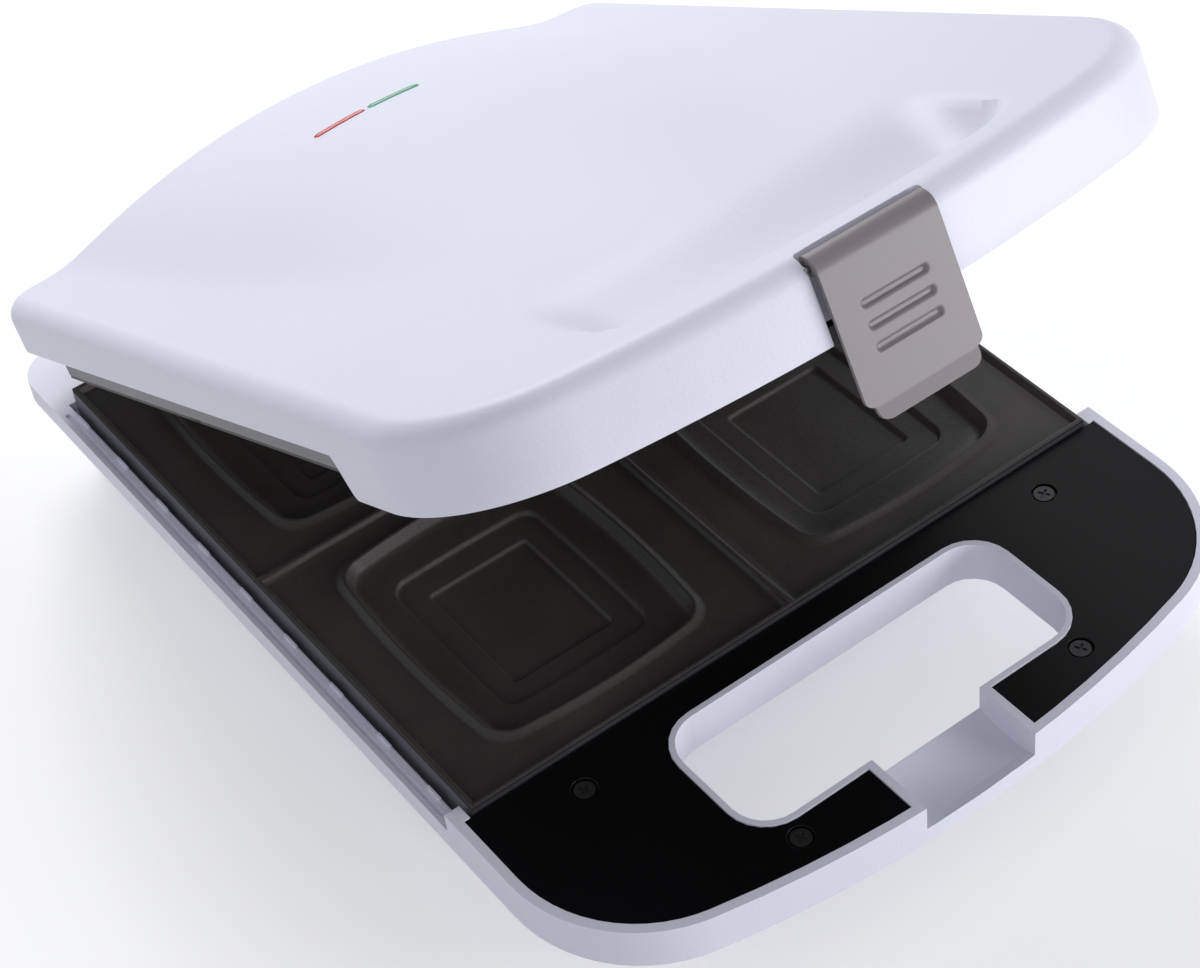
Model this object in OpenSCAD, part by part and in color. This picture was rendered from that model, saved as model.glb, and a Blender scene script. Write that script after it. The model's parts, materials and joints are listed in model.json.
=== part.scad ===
// Four-pocket sandwich toaster with a hinged lid and a front latch, shown partly open.
// Everything is drawn round the lower cooking plate: x to the right, y to the back, z up.
// y = 0 is the plate's front edge and z = 0 is the top of its rim. The lid is drawn closed.
// lower_set() and upper_set() then move each half to the part's own frame.

/* [Cooking plates] */
// Width of each cooking plate
plate_w = 250; // [246:1:254]
// Depth of each cooking plate, front to back
plate_d = 250; // [246:1:254]
// Height of a plate's outer wall
plate_h = 14; // [13:0.5:15]
// Thickness of the casting
plate_t = 2.2; // [2:0.1:2.4]
// Radius of a plate's upright corners
plate_r = 5; // [4:0.5:7]
// Depth of the plate's floor under its rim
floor_z = 2.5; // [2:0.1:3]
// Thickness of the rim at its top
rim_t = 1.5; // [1.2:0.1:2]
// Width of one pocket between its crests
pocket_w = 84; // [80:1:86]
// Length of one pocket between its crests
pocket_l = 97.2; // [94:0.2:98]
// Depth of a pocket under the plate's rim
pocket_z = 14; // [13:0.5:14.5]
// How far the pockets stand towards the cross ridge
pocket_shift = 1.5; // [1:0.1:2]
// Depth of the pocket's shoulder line under the rim
shoulder_z = 9; // [8:0.5:10]
// Width of the pocket at its shoulder line
shoulder_w = 57; // [54:1:60]
// Length of the pocket at its shoulder line
shoulder_l = 68.6; // [66:0.2:71]
// Width of the pocket's flat bottom
bottom_w = 34; // [30:1:38]
// Length of the pocket's flat bottom
bottom_l = 43.6; // [40:0.2:46]
// Depth of a pocket's crest under the rim
crest_z = 1; // [0.8:0.1:1.5]
// Width of the raised land round a pocket
land_w = 3.5; // [3:0.1:4]
// Width of the cross ridges at their foot
ridge_w = 8; // [6:0.5:9]
// Width of the cross ridges at their crest
ridge_crest = 1.3; // [1:0.1:2]
// Gap between the two plates' rims with the lid shut
plate_gap = 0.3; // [0.3:0.1:1]

/* [Housing] */
// Width of the housing's rim beyond the plate at each side
side_margin = 7; // [6:0.5:9]
// Distance of the housing's front behind the plate's front edge
front_y = -88.5; // [-90:0.5:-86]
// Distance of the base's back edge behind the plate
base_margin = 36; // [34:1:40]
// Radius of the bowed front
front_r = 410; // [380:5:450]
// Radius of the two front corners
corner_r = 50; // [46:1:54]
// Radius of the two back corners
back_r = 14; // [10:1:18]
// Thickness of the housing's walls
wall = 2.5; // [2.2:0.1:2.8]
// Running gap left between the plate and the housing
plate_play = 1.5; // [1:0.1:2]
// Depth of the base's side rim under the plate's rim
side_rim = 10; // [9:0.5:11]
// Depth of the handle's rim under the plate's rim
handle_rim = 2.4; // [2.2:0.1:3]
// Depth of the housing's lower edge under the plate's rim
skirt_z = 18.5; // [18.4:0.1:20]
// Width of the ledge that carries the plate at its sides
ledge_w = 15; // [13:0.5:17]
// Width of the ledge that carries the plate at front and back
ledge_d = 24; // [23:0.5:26]
// Thickness of that ledge
ledge_t = 4; // [3.5:0.1:4.3]
// Width of the groove along the side rims
groove_w = 1.6; // [1:0.1:2]
// Depth of that groove
groove_z = 1; // [0.6:0.1:1.5]
// Number of small tabs along each side lip
tab_count = 9; // [7:1:11]
// Length of one tab
tab_l = 7; // [5:0.5:9]
// Depth of the tub under the plate's rim
tub_z = 44; // [42:1:50]
// How far the tub's side walls stand inside the plate's edges
tub_side = 7; // [6:0.5:9]
// Position of the tub's front wall
tub_front = 13; // [12:0.5:14]
// Distance of the tub's back wall behind the plate
tub_margin = 25; // [22:1:27]
// Height of the rubber feet that show
foot_h = 6; // [4:0.5:8]
// Diameter of the rubber feet
foot_d = 18; // [14:1:20]

/* [Handle] */
// Half the length of the hand opening
grip_half = 65; // [62:0.5:67]
// Position of the hand opening's back wall
grip_back = -13.6; // [-15:0.2:-12.8]
// Position of the hand opening's front wall
grip_front = -63; // [-64:0.2:-61]
// Radius of the hand opening's corners
grip_r = 13; // [10:1:15]
// White lip round the hand opening
grip_lip = 2; // [1.8:0.1:2.4]
// Rim left round the black cover
cover_inset = 3.4; // [3:0.1:4]
// Thickness of the black cover
cover_t = 2.4; // [2:0.1:2.8]
// Depth of the cover's face under the handle's rim
cover_drop = 0.5; // [0.4:0.1:0.8]
// Half the width of the notch for the latch
notch_half = 21.6; // [21:0.2:22]
// Thickness of the notch's side walls
notch_wall = 2.8; // [2.4:0.1:3.2]
// Depth of the notch's saddle under the plate's rim
saddle_z = 12; // [11:0.5:13]

/* [Lid] */
// Distance of the lid's back wall behind the plate
lid_margin = 26; // [25:0.5:27]
// Height of the lid's side edges
lid_edge = 12; // [11.5:0.5:13]
// Depth of the lid's front skirt under the lower plate's rim
lid_skirt = 1; // [0.5:0.1:1.5]
// Where the deep front skirt ends
lid_step = -4; // [-5:0.5:-3]
// Height of the lid's flat top at the front
top_front = 25; // [24.5:0.5:27]
// Height of the lid's flat top at the back
top_back = 31; // [30:0.5:32]
// Height of the crown's ridge at the back
crown_back = 50.5; // [49:0.5:52]
// Height of the crown's ridge where it starts at the front
crown_front = 24.5; // [24:0.5:25]
// Radius of the crown across the lid
crown_r = 290; // [280:5:300]
// Radius of the crown's ridge from front to back
ridge_r = 3100; // [2900:50:3300]
// Half the length of the finger scoop
scoop_half = 70; // [66:1:72]
// Position of the scoop's front wall
scoop_front = -72; // [-73:0.5:-70]
// Where the scoop's floor meets the top
scoop_back = -22; // [-24:0.5:-20]
// Depth of the scoop at its front wall
scoop_z = 8.5; // [7:0.5:9]
// Half the width of the latch's recess
recess_half = 21.6; // [21.4:0.1:22.4]
// Depth of the latch's recess
recess_d = 6; // [5.8:0.1:6.5]
// Half the length of the pair of indicator windows
window_half = 22; // [20:0.5:24]
// Width of the indicator windows
window_w = 2.5; // [2:0.1:3]
// Distance of the indicator windows in front of the plate's back edge
window_margin = 45; // [40:1:50]

/* [Latch] */
// Half the latch's width
latch_half = 20.5; // [20:0.1:20.8]
// Thickness of the latch plate
latch_t = 1.4; // [1.2:0.1:1.6]
// Height of the latch's pin
latch_pin_z = 21; // [20.5:0.1:21.2]
// Radius of the latch's pin
latch_pin_r = 1.2; // [1.1:0.05:1.3]
// Radius of the latch's barrel
latch_barrel_r = 2.5; // [2.4:0.1:2.6]
// How far the latch plate stands in front of the lid's wall
latch_proud = 2.4; // [2.2:0.1:3]
// Radius of the bend at the latch's top
latch_bend = 5.3; // [5:0.1:5.5]
// Depth of the latch's fold under the lower plate's rim
latch_fold = 20.5; // [20:0.1:21]
// Length of the lip under the fold
latch_lip = 4.8; // [4:0.2:6]
// Reach of the catch behind the latch plate
catch_l = 4.6; // [4:0.1:5]
// Thickness of the catch
catch_t = 1.4; // [1.2:0.1:1.6]
// Half the length of the latch's pressed grooves
groove_half = 11.5; // [10:0.5:13]
// Distance between those grooves
groove_step = 6.4; // [5.5:0.1:7]

/* [Hinge] */
// Distance of the hinge axis behind the plate
hinge_margin = 12.9; // [12.6:0.1:13.2]
// Height of the hinge axis over the lower plate's rim
hinge_z = 10.9; // [10.6:0.1:11.2]
// Distance of each hinge from the middle
hinge_x = 75; // [70:1:80]
// Radius of the hinge pins
pin_r = 2; // [1.8:0.1:2.2]
// Running clearance round the pins
pin_play = 0.05; // [0.03:0.01:0.08]
// Radius of the knuckles
knuckle_r = 5.2; // [5:0.1:5.4]
// Width of a knuckle
knuckle_w = 16; // [14:0.5:18]
// Thickness of a bracket's ears
ear_t = 4; // [3:0.5:5]
// Width of the stem under an ear
ear_stem = 8; // [7:0.5:8.5]
// Depth of a bracket's pad, front to back
bracket_d = 16; // [15:0.5:17]
// Thickness of the bracket's and the knuckle's pads
bracket_pad = 3; // [2.5:0.1:3.5]
// Gap between a knuckle and the ears
ear_gap = 0.5; // [0.4:0.1:0.8]
// How far the lid stands open
rest_open = 27; // [10:1:60]

/* [Heating] */
// Radius of the tubular element
tube_r = 3.25; // [3:0.05:3.4]
// Thickness of the reflector sheets
sheet_t = 0.8; // [0.6:0.1:1]
// Radius of the screw posts under the plates
post_r = 4; // [3.6:0.1:4.4]
// Radius of the thermostat
thermo_r = 7; // [6:0.5:9]
// Height of the thermostat
thermo_h = 8; // [7:0.5:9]
// Length of the thermostat's blades
blade_l = 4.4; // [4:0.1:4.8]
// Radius of the thermal fuse
fuse_r = 2; // [1.5:0.1:2.5]
// Length of the thermal fuse
fuse_l = 16; // [12:1:20]
// Width of the terminal block
block_w = 36; // [30:1:44]
// Depth of the terminal block
block_d = 16; // [13:1:20]
// Height of the terminal block
block_h = 14; // [12:1:16]

/* [Fasteners] */
// Radius of the cover screws' heads
head_r = 3.4; // [3.2:0.1:3.6]
// Radius of the round sinks round the cover screws
sink_r = 4.2; // [4:0.1:4.6]
// Depth of those round sinks
sink_z = 1.4; // [1.2:0.1:1.6]
// Radius of the small screws' shanks
shank_r = 1.5; // [1.4:0.05:1.6]
// Thickness of the thick screw heads
head_h = 2; // [1.8:0.1:2.2]
// Radius of the screw columns inside the tub
tub_boss_r = 5.2; // [5:0.1:5.4]

/* [Cord inlet] */
// Radius of the cord bush's neck
bush_neck_r = 6; // [5.5:0.1:7]
// Radius of the cord's hole
bush_bore_r = 3.6; // [3:0.1:4]

/* [Hidden] */
$fn = 48;
fine = 96;
// Small clearances that seats and sliding faces share
play = 0.15;
seat_gap = 0.3;
over = 1;
// Levels and places that follow from the sizes
half_w = plate_w / 2 + side_margin;
base_back = plate_d + base_margin;
lid_back = plate_d + lid_margin;
hinge_y = plate_d + hinge_margin;
window_y = plate_d - window_margin;
tub_half = plate_w / 2 - tub_side;
tub_back = plate_d + tub_margin;
crown_half = half_w - 27;
ledge_top = -plate_h;
ledge_low = ledge_top - ledge_t;
plate_mid = plate_d / 2;
grip_depth = skirt_z - wall;
cover_top = -handle_rim - cover_drop;
cover_low = cover_top - cover_t;
cover_rear = -0.8;
step_y = 5;
deck_z = -side_rim + 0.5;
mouth_half = plate_w / 2 + plate_play;
mouth_front = -1;
mouth_back = plate_d + 4;
frame_top = plate_gap + plate_h + ledge_t;
frame_low = plate_gap + plate_h;
tub_top = ledge_low;
post_end = -plate_h - ledge_t;
latch_pin_y = front_y + 1.7;
latch_face = front_y - latch_proud;
latch_bend_y = latch_face + latch_bend;
latch_top = latch_pin_z + 3.7;
catch_top = -skirt_z - 0.5;
lid_cover_low = 1.5;
lid_cover_top = lid_cover_low + cover_t;
bracket_low = deck_z;
pad_top = frame_top + 2;
ear_x = knuckle_w / 2 + ear_gap;
element_z = -floor_z - plate_t - tube_r - 0.1;
element_in = plate_t + tube_r + 2.05;
element_turn = 9;
end_x = 10;
end_y = plate_d - 37;
bulge = plate_t;
holder_top = crown_back - 8.2;
post_side = plate_w / 4 - 2.5;
screw_post = [[0, 40], [0, plate_d - 40], [-post_side, plate_mid], [post_side, plate_mid]];
cover_screw_at = concat(
    pair(grip_half + 28.7, grip_back - 0.9), pair(grip_half - 9, grip_front - 8.2));
lid_cover_screw_at = concat(pair(half_w - 37, -30), pair(recess_half + 18.4, front_y + 9.5));
tub_screw_x = tub_half - 13;
tub_screw_y = tub_front + 7;
tub_screw_at = concat(pair(tub_screw_x, tub_screw_y), pair(tub_screw_x, tub_back - 13));
lid_screw_at = concat(pair(half_w - 20, -10), pair(half_w - 20, lid_back - 13));
foot_at = concat(pair(tub_half - 22, tub_front + 25), pair(tub_half - 22, tub_back - 25));
// The crown's ridge: an arc from the scoop's back edge up to the back wall
ridge_run = lid_back - scoop_back;
ridge_climb = crown_back - crown_front;
ridge_chord = sqrt(ridge_run * ridge_run + ridge_climb * ridge_climb);
ridge_lean = atan(ridge_climb / ridge_run);
ridge_drop = sqrt(ridge_r * ridge_r - ridge_chord * ridge_chord / 4);
ridge_sweep = 2 * asin(ridge_chord / 2 / ridge_r) + 3;
arc_y = (lid_back + scoop_back) / 2 + ridge_drop * sin(ridge_lean);
arc_z = (crown_back + crown_front) / 2 - ridge_drop * cos(ridge_lean);
window_z = arc_z + sqrt(pow(ridge_r, 2) - pow(arc_y - window_y, 2));
window_tilt = asin((arc_y - window_y) / ridge_r);
// Height of the base's foot and middle of the whole part from front to back
lift = tub_z + foot_h;
crown_swing = (crown_back - hinge_z) * sin(rest_open) + (lid_back - hinge_y) * cos(rest_open);
rear_reach = max(base_back, hinge_y + crown_swing);
middle_y = (front_y + rear_reach) / 2;

// Two places, mirrored to the left and the right
function pair(x, y) = [[-x, y], [x, y]];

// Points of an arc, measured from straight forward towards the right
function arc(cx, cy, r, a0, a1, n) =
    [for (k = [0 : n]) let (a = a0 + (a1 - a0) * k / n) [cx + r * sin(a), cy - r * cos(a)]];

function mirrored(p) = [for (k = [len(p) - 1 : -1 : 0]) [-p[k][0], p[k][1]]];

// Right half of the housing's outline, drawn in by a distance, from the front to the back
function half_outline(inset, back) =
    let (
        cx = half_w - corner_r,
        fy = front_y + front_r,
        cy = fy - sqrt(pow(front_r - corner_r, 2) - cx * cx),
        meet = asin(cx / (front_r - corner_r))
    )
    concat(
        arc(0, fy, front_r - inset, 0.3, meet, 6),
        arc(cx, cy, corner_r - inset, meet + 5, 90, 12),
        arc(half_w - back_r, back - back_r, back_r - inset, 90, 180, 6)
    );

function outline(inset, back) =
    let (h = half_outline(inset, back)) concat(h, mirrored(h));

// Rounded rectangle from one corner to the other
function soft_box(x0, y0, x1, y1, r) = concat(
    arc(x1 - r, y0 + r, r, 0, 90, 6), arc(x1 - r, y1 - r, r, 90, 180, 6),
    arc(x0 + r, y1 - r, r, 180, 270, 6), arc(x0 + r, y0 + r, r, 270, 360, 6));

// Square with bowed sides and round corners, at one height
bow = 5.5;
bow_steps = 28;
function bowed(w, l, z) =
    [for (k = [0 : bow_steps - 1]) let (a = 360 * (k + 0.5) / bow_steps)
        [w / 2 * sign(cos(a)) * pow(abs(cos(a)), 2 / bow),
         l / 2 * sign(sin(a)) * pow(abs(sin(a)), 2 / bow), z]];

// Closed solid through a stack of bowed squares, from the lowest to the highest
module stack(rings) {
    n = len(rings[0]);
    m = len(rings);
    points = [for (r = rings) for (p = r) p];
    sides = [for (j = [0 : m - 2]) for (k = [0 : n - 1]) let (q = (k + 1) % n)
        [j * n + k, (j + 1) * n + k, (j + 1) * n + q, j * n + q]];
    polyhedron(points, concat(
        [[for (k = [0 : n - 1]) k]], sides, [[for (k = [n - 1 : -1 : 0]) (m - 1) * n + k]]));
}

module at_pockets() {
    for (sx = [-1, 1], sy = [-1, 1])
        translate([sx * plate_w / 4, plate_mid + sy * (plate_d / 4 - pocket_shift), 0]) children();
}

// Hollow of one pocket, run up past the rim
module pocket_hollow() {
    stack([
        bowed(bottom_w, bottom_l, -pocket_z),
        bowed(shoulder_w, shoulder_l, -shoulder_z),
        bowed(pocket_w, pocket_l, -crest_z),
        bowed(pocket_w + 2 * crest_z, pocket_l + 2 * crest_z, over)
    ]);
}

// Body of one pocket with its raised land
module pocket_body() {
    stack([
        bowed(bottom_w + bulge, bottom_l + bulge, -pocket_z - plate_t),
        bowed(shoulder_w + 2 * bulge, shoulder_l + 2 * bulge, -shoulder_z - plate_t),
        bowed(pocket_w + 2 * bulge, pocket_l + 2 * bulge, -crest_z - plate_t),
        bowed(pocket_w + 2 * land_w, pocket_l + 2 * land_w, -floor_z),
        bowed(pocket_w + 0.8, pocket_l + 0.8, -crest_z)
    ]);
}

// Bar with a narrow crest, along x
module ridge(length) {
    top = -crest_z + 0.4;
    rotate([90, 0, 90]) translate([0, 0, -length / 2])
        linear_extrude(length) polygon([
            [-ridge_w / 2, -floor_z - 0.5], [ridge_w / 2, -floor_z - 0.5],
            [ridge_crest, -floor_z + 0.5], [ridge_crest / 2, top],
            [-ridge_crest / 2, top], [-ridge_crest, -floor_z + 0.5]
        ]);
}

// One cooking plate, pockets up
module plate() {
    hw = plate_w / 2;
    inner_w = plate_w - 2 * rim_t - 2;
    inner_d = plate_d - 2 * rim_t - 2;
    difference() {
        union() {
            difference() {
                translate([0, 0, -plate_h]) linear_extrude(plate_h)
                    polygon(soft_box(-hw, 0, hw, plate_d, plate_r));
                translate([0, 0, -floor_z]) linear_extrude(floor_z + over)
                    polygon(soft_box(-hw + rim_t, rim_t, hw - rim_t, plate_d - rim_t, plate_r - rim_t));
                translate([0, 0, -plate_h - over]) linear_extrude(plate_h + over - floor_z - plate_t)
                    polygon(soft_box(-hw + plate_t, plate_t, hw - plate_t, plate_d - plate_t,
                        plate_r - plate_t));
            }
            translate([0, plate_mid, 0]) ridge(inner_w);
            translate([0, plate_mid, 0]) rotate([0, 0, 90]) ridge(inner_d);
            at_pockets() pocket_body();
            for (p = screw_post) translate([p[0], p[1], post_end])
                cylinder(r = post_r, h = ledge_t + plate_h - floor_z - plate_t / 2);
        }
        at_pockets() pocket_hollow();
        for (p = screw_post) translate([p[0], p[1], post_end - over])
            cylinder(r = shank_r - 0.1, h = over + 9);
    }
}

// Tubular element: a loop inside the plate's edge whose two ends turn in, then down
module element() {
    x0 = plate_w / 2 - element_in;
    y0 = element_in;
    y1 = plate_d - element_in;
    t = element_turn;
    translate([0, 0, element_z]) {
        translate([-x0 + t, y0, 0]) rotate([0, 90, 0]) cylinder(r = tube_r, h = 2 * (x0 - t));
        for (s = [-1, 1]) {
            translate([s * x0, y0 + t, 0]) rotate([-90, 0, 0]) cylinder(r = tube_r, h = y1 - y0 - 2 * t);
            translate([s * (x0 - t), y0 + t, 0]) bend(s > 0 ? 270 : 180);
            translate([s * (x0 - t), y1 - t, 0]) bend(s > 0 ? 0 : 90);
            translate([s > 0 ? end_x + t : -x0 + t, y1, 0]) rotate([0, 90, 0])
                cylinder(r = tube_r, h = x0 - end_x - 2 * t);
            translate([s * (end_x + t), y1 - t, 0]) bend(s > 0 ? 90 : 0);
            translate([s * end_x, end_y + t, 0]) rotate([-90, 0, 0])
                cylinder(r = tube_r, h = y1 - end_y - 2 * t);
            translate([s * end_x, end_y + t, -t]) rotate([90, 0, -90]) bend(0);
            translate([s * end_x, end_y, -t - 6]) cylinder(r = tube_r, h = 6);
            translate([s * end_x, end_y, -t - 12]) cylinder(r = tube_r / 2, h = 6);
        }
    }
}

// Quarter turn of the tube, starting at an angle
module bend(a) {
    rotate([0, 0, a]) rotate_extrude(angle = 90, $fn = fine) translate([element_turn, 0]) circle(tube_r);
}

// Folded sheet behind a plate
module reflector() {
    hw = tub_half - wall - 2.5;
    in_y = tub_screw_y + tub_boss_r + 0.8;
    lip = 3;
    difference() {
        translate([0, 0, post_end - lip]) linear_extrude(lip)
            polygon(soft_box(-hw, in_y, hw, plate_d - in_y, 6));
        translate([0, 0, post_end - lip - over]) linear_extrude(lip - sheet_t + over)
            polygon(soft_box(-hw + sheet_t, in_y + sheet_t, hw - sheet_t, plate_d - in_y - sheet_t, 5));
        for (p = screw_post) translate([p[0], p[1], post_end - lip - over])
            cylinder(r = shank_r + 0.2, h = lip + 2 * over);
        for (s = [-1, 1]) translate([s * end_x, end_y, post_end - lip - over])
            cylinder(r = tube_r + 1, h = lip + 2 * over);
    }
}

// Pan-head screw with a cross in its head: the head's face is at z = 0 and looks up
module screw(r_head, h_head, r_shank, length) {
    slot_l = r_head * 1.2;
    slot_w = r_head * 0.26;
    difference() {
        union() {
            translate([0, 0, -h_head]) cylinder(r = r_head, h = h_head);
            translate([0, 0, -h_head - length]) cylinder(r = r_shank, h = length + h_head / 2);
        }
        for (a = [0, 90]) rotate([0, 0, a]) translate([-slot_l / 2, -slot_w / 2, -h_head * 0.55])
            cube([slot_l, slot_w, h_head]);
    }
}

module plate_screws() {
    for (p = screw_post) translate([p[0], p[1], post_end - sheet_t - head_h]) rotate([180, 0, 0])
        screw(head_r, head_h, shank_r - 0.1, 8 + sheet_t);
}

// Base and lid positions
module lower_set() { translate([0, -middle_y, lift]) children(); }

module upper_set() {
    lower_set() translate([0, hinge_y, hinge_z]) rotate([-rest_open, 0, 0])
        translate([0, -hinge_y, -hinge_z]) children();
}

module flipped() { translate([0, 0, plate_gap]) mirror([0, 0, 1]) children(); }

// Flat shapes of the handle
module grip_shape(grow) {
    polygon(soft_box(-grip_half - grow, grip_front - grow, grip_half + grow, grip_back + grow, grip_r + grow));
}

module notch_shape(grow) {
    translate([-notch_half - grow, front_y - over - 2])
        square([2 * (notch_half + grow), grip_front - front_y + over + 2 - grow * 0.5]);
}

module before(y) { translate([-200, -200]) square([400, 200 + y]); }

module cover_shape(inset, gap) {
    difference() {
        intersection() {
            polygon(outline(inset, base_back));
            before(cover_rear);
        }
        grip_shape(grip_lip + gap);
        translate([-notch_half - notch_wall - gap, front_y - over])
            square([2 * (notch_half + notch_wall + gap), grip_front - front_y + over]);
    }
}

module base_shell() {
    lower_set() color("lavender") difference() {
        union() {
            translate([0, 0, -skirt_z]) linear_extrude(skirt_z - side_rim)
                polygon(outline(0, base_back));
            translate([0, 0, -skirt_z]) linear_extrude(skirt_z - handle_rim) intersection() {
                polygon(outline(0, base_back));
                before(step_y);
            }
            for (s = [-1, 1], k = [0 : tab_count - 1])
                translate([s * (mouth_half + 0.4) - 0.4, plate_d * (k + 0.7) / tab_count - tab_l / 2, -side_rim - 0.2])
                    cube([0.8, tab_l, 1.2]);
        }
        // Mouth for the plate, with the ledge under it
        translate([-mouth_half, mouth_front, ledge_top])
            cube([2 * mouth_half, mouth_back - mouth_front, plate_h + over]);
        translate([-plate_w / 2 + ledge_w, ledge_d, -skirt_z - over])
            cube([plate_w - 2 * ledge_w, plate_d - 2 * ledge_d, skirt_z + 2 * over]);
        // Relief under the ledge, so that the tub and the sheet seat above the skirt's edge
        translate([-tub_half - 0.5, tub_front - 0.5, -skirt_z - over])
            cube([2 * tub_half + 1, tub_back - tub_front + 1, skirt_z + ledge_low + over]);
        // Deck behind the plate
        translate([0, 0, deck_z]) linear_extrude(over + side_rim) intersection() {
            polygon(outline(3, base_back));
            translate([-200, mouth_back + 1.5]) square([400, 100]);
        }
        // Groove along the side rims
        for (s = [-1, 1]) translate([s * (mouth_half + 3) - groove_w / 2, step_y + 6, -side_rim - groove_z])
            cube([groove_w, mouth_back - step_y - 10, groove_z + over]);
        // Seat of the cover and the hollow of the handle
        translate([0, 0, cover_low]) linear_extrude(cover_t + cover_drop + over)
            cover_shape(cover_inset - play, 0);
        difference() {
            translate([0, 0, -grip_depth]) linear_extrude(grip_depth + cover_low + 0.01)
                difference() {
                    intersection() {
                        polygon(outline(cover_inset + 2, base_back));
                        before(mouth_front - wall);
                    }
                    grip_shape(grip_lip);
                    translate([-notch_half - notch_wall, front_y])
                        square([2 * (notch_half + notch_wall), grip_front - front_y]);
                }
            for (p = cover_screw_at) translate([p[0], p[1], -grip_depth - over])
                cylinder(r = post_r, h = grip_depth + over);
        }
        for (p = cover_screw_at) translate([p[0], p[1], -grip_depth + 1])
            cylinder(r = shank_r - 0.1, h = grip_depth);
        // Hand opening and the notch with its saddle
        translate([0, 0, -skirt_z - over]) linear_extrude(skirt_z + 2 * over) grip_shape(0);
        translate([0, 0, -saddle_z]) linear_extrude(saddle_z + over) notch_shape(0);
        translate([-notch_half, (front_y + grip_front) / 2, -saddle_z + 38]) rotate([0, 90, 0])
            cylinder(r = 40, h = 2 * notch_half, $fn = fine);
        // Pilot holes for the tub's and the hinges' screws
        for (p = tub_screw_at) translate([p[0], p[1], ledge_low - over])
            cylinder(r = shank_r - 0.1, h = ledge_t - 0.5 + over);
        bracket_screw_places() translate([0, 0, -6]) cylinder(r = shank_r - 0.1, h = 7);
    }
}

// Places of the hinge screws, on the deck
module bracket_screw_places() {
    for (s = [-1, 1], e = [-1, 1])
        translate([s * hinge_x + e * (ear_x + ear_t + 4.5), hinge_y - 1, bracket_low]) children();
}

module bottom_cover() {
    lower_set() color("gainsboro") difference() {
        union() {
            difference() {
                translate([0, 0, -tub_z]) linear_extrude(tub_z + tub_top)
                    polygon(soft_box(-tub_half, tub_front, tub_half, tub_back, 12));
                translate([0, 0, -tub_z + wall]) linear_extrude(tub_z)
                    polygon(soft_box(-tub_half + wall, tub_front + wall, tub_half - wall, tub_back - wall, 9.5));
            }
            for (p = tub_screw_at) translate([p[0], p[1], -tub_z]) cylinder(r = tub_boss_r, h = tub_z + tub_top);
            translate([-24, tub_back - 40, -tub_z]) cube([48, 3, wall + 5]);
        }
        for (p = tub_screw_at) {
            translate([p[0], p[1], -tub_z - over]) cylinder(r = shank_r + 0.2, h = tub_z);
            translate([p[0], p[1], -tub_z - over]) cylinder(r = head_r + 0.2, h = over + 5);
        }
        for (p = foot_at) translate([p[0], p[1], -tub_z - over]) cylinder(r = 3, h = wall + 2 * over);
        translate([0, tub_back + over, -tub_z + 12]) rotate([90, 0, 0])
            cylinder(r = bush_neck_r, h = wall + 2 * over);
    }
}

module handle_cover() {
    lower_set() color("#1b1b1e") difference() {
        translate([0, 0, cover_low]) linear_extrude(cover_t) cover_shape(cover_inset, play);
        for (p = cover_screw_at) translate([p[0], p[1], 0]) {
            translate([0, 0, cover_low - over]) cylinder(r = shank_r + 0.2, h = cover_t + 2 * over);
            translate([0, 0, cover_top - sink_z]) cylinder(r = sink_r, h = sink_z + over);
        }
    }
}

module cover_screws() {
    lower_set() color("#101012") for (p = cover_screw_at) translate([p[0], p[1], cover_top - sink_z + 1])
        rotate([0, 0, 30]) screw(head_r, 1, shank_r - 0.1, 8);
}

module lower_plate() { lower_set() color("#2b2a29") plate(); }

module lower_element() { lower_set() color("#6b6660") element(); }

module lower_reflector() { lower_set() color("silver") reflector(); }

module lower_plate_screws() { lower_set() color("gray") plate_screws(); }

// Snap-disc thermostat seated on the plate's underside at its middle
module thermostat() {
    lower_set() color("#d8d0bc") translate([0, plate_mid, -floor_z - plate_t - thermo_h]) {
        cylinder(r = thermo_r, h = thermo_h);
        for (s = [-1, 1]) translate([s * thermo_r / 2 - 0.4, -3, -blade_l]) cube([0.8, 6, blade_l + 0.2]);
    }
}

// Thermal fuse lying under the plate behind the thermostat
module thermal_fuse() {
    lower_set() color("#b9a36a") translate([0, plate_mid + 22, -floor_z - plate_t - fuse_r - 0.1])
        rotate([-90, 0, 0]) {
            cylinder(r = fuse_r, h = fuse_l);
            translate([0, 0, -6]) cylinder(r = fuse_r * 0.3, h = fuse_l + 12);
        }
}

module terminal_block() {
    lower_set() color("ivory") difference() {
        translate([-block_w / 2, tub_back - 60, -tub_z + wall]) cube([block_w, block_d, block_h]);
        for (k = [-1 : 1]) translate([k * block_w * 0.3, tub_back - 60 + block_d / 2, -tub_z + wall + block_h / 2])
            cylinder(r = 2.5, h = block_h);
    }
}

module cord_bush() {
    lower_set() color("#222222") translate([0, tub_back, -tub_z + 12]) rotate([-90, 0, 0]) difference() {
        union() {
            cylinder(r = bush_neck_r + 2.5, h = 4);
            translate([0, 0, -wall - 4]) cylinder(r = bush_neck_r - play, h = wall + 5);
            translate([0, 0, -wall - 4]) cylinder(r = bush_neck_r + 2, h = 4 - play);
        }
        translate([0, 0, -wall - 5]) cylinder(r = bush_bore_r, h = wall + 12);
    }
}

module rubber_feet() {
    lower_set() color("#26262a") for (p = foot_at) translate([p[0], p[1], -tub_z - foot_h]) {
        cylinder(r = foot_d / 2 - 1, h = foot_h);
        translate([0, 0, 1]) cylinder(r = foot_d / 2, h = foot_h - 1);
        cylinder(r = 3 - play, h = foot_h + wall + 0.5);
        translate([0, 0, foot_h + wall + play]) cylinder(r = 4, h = 1.5);
    }
}

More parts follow.
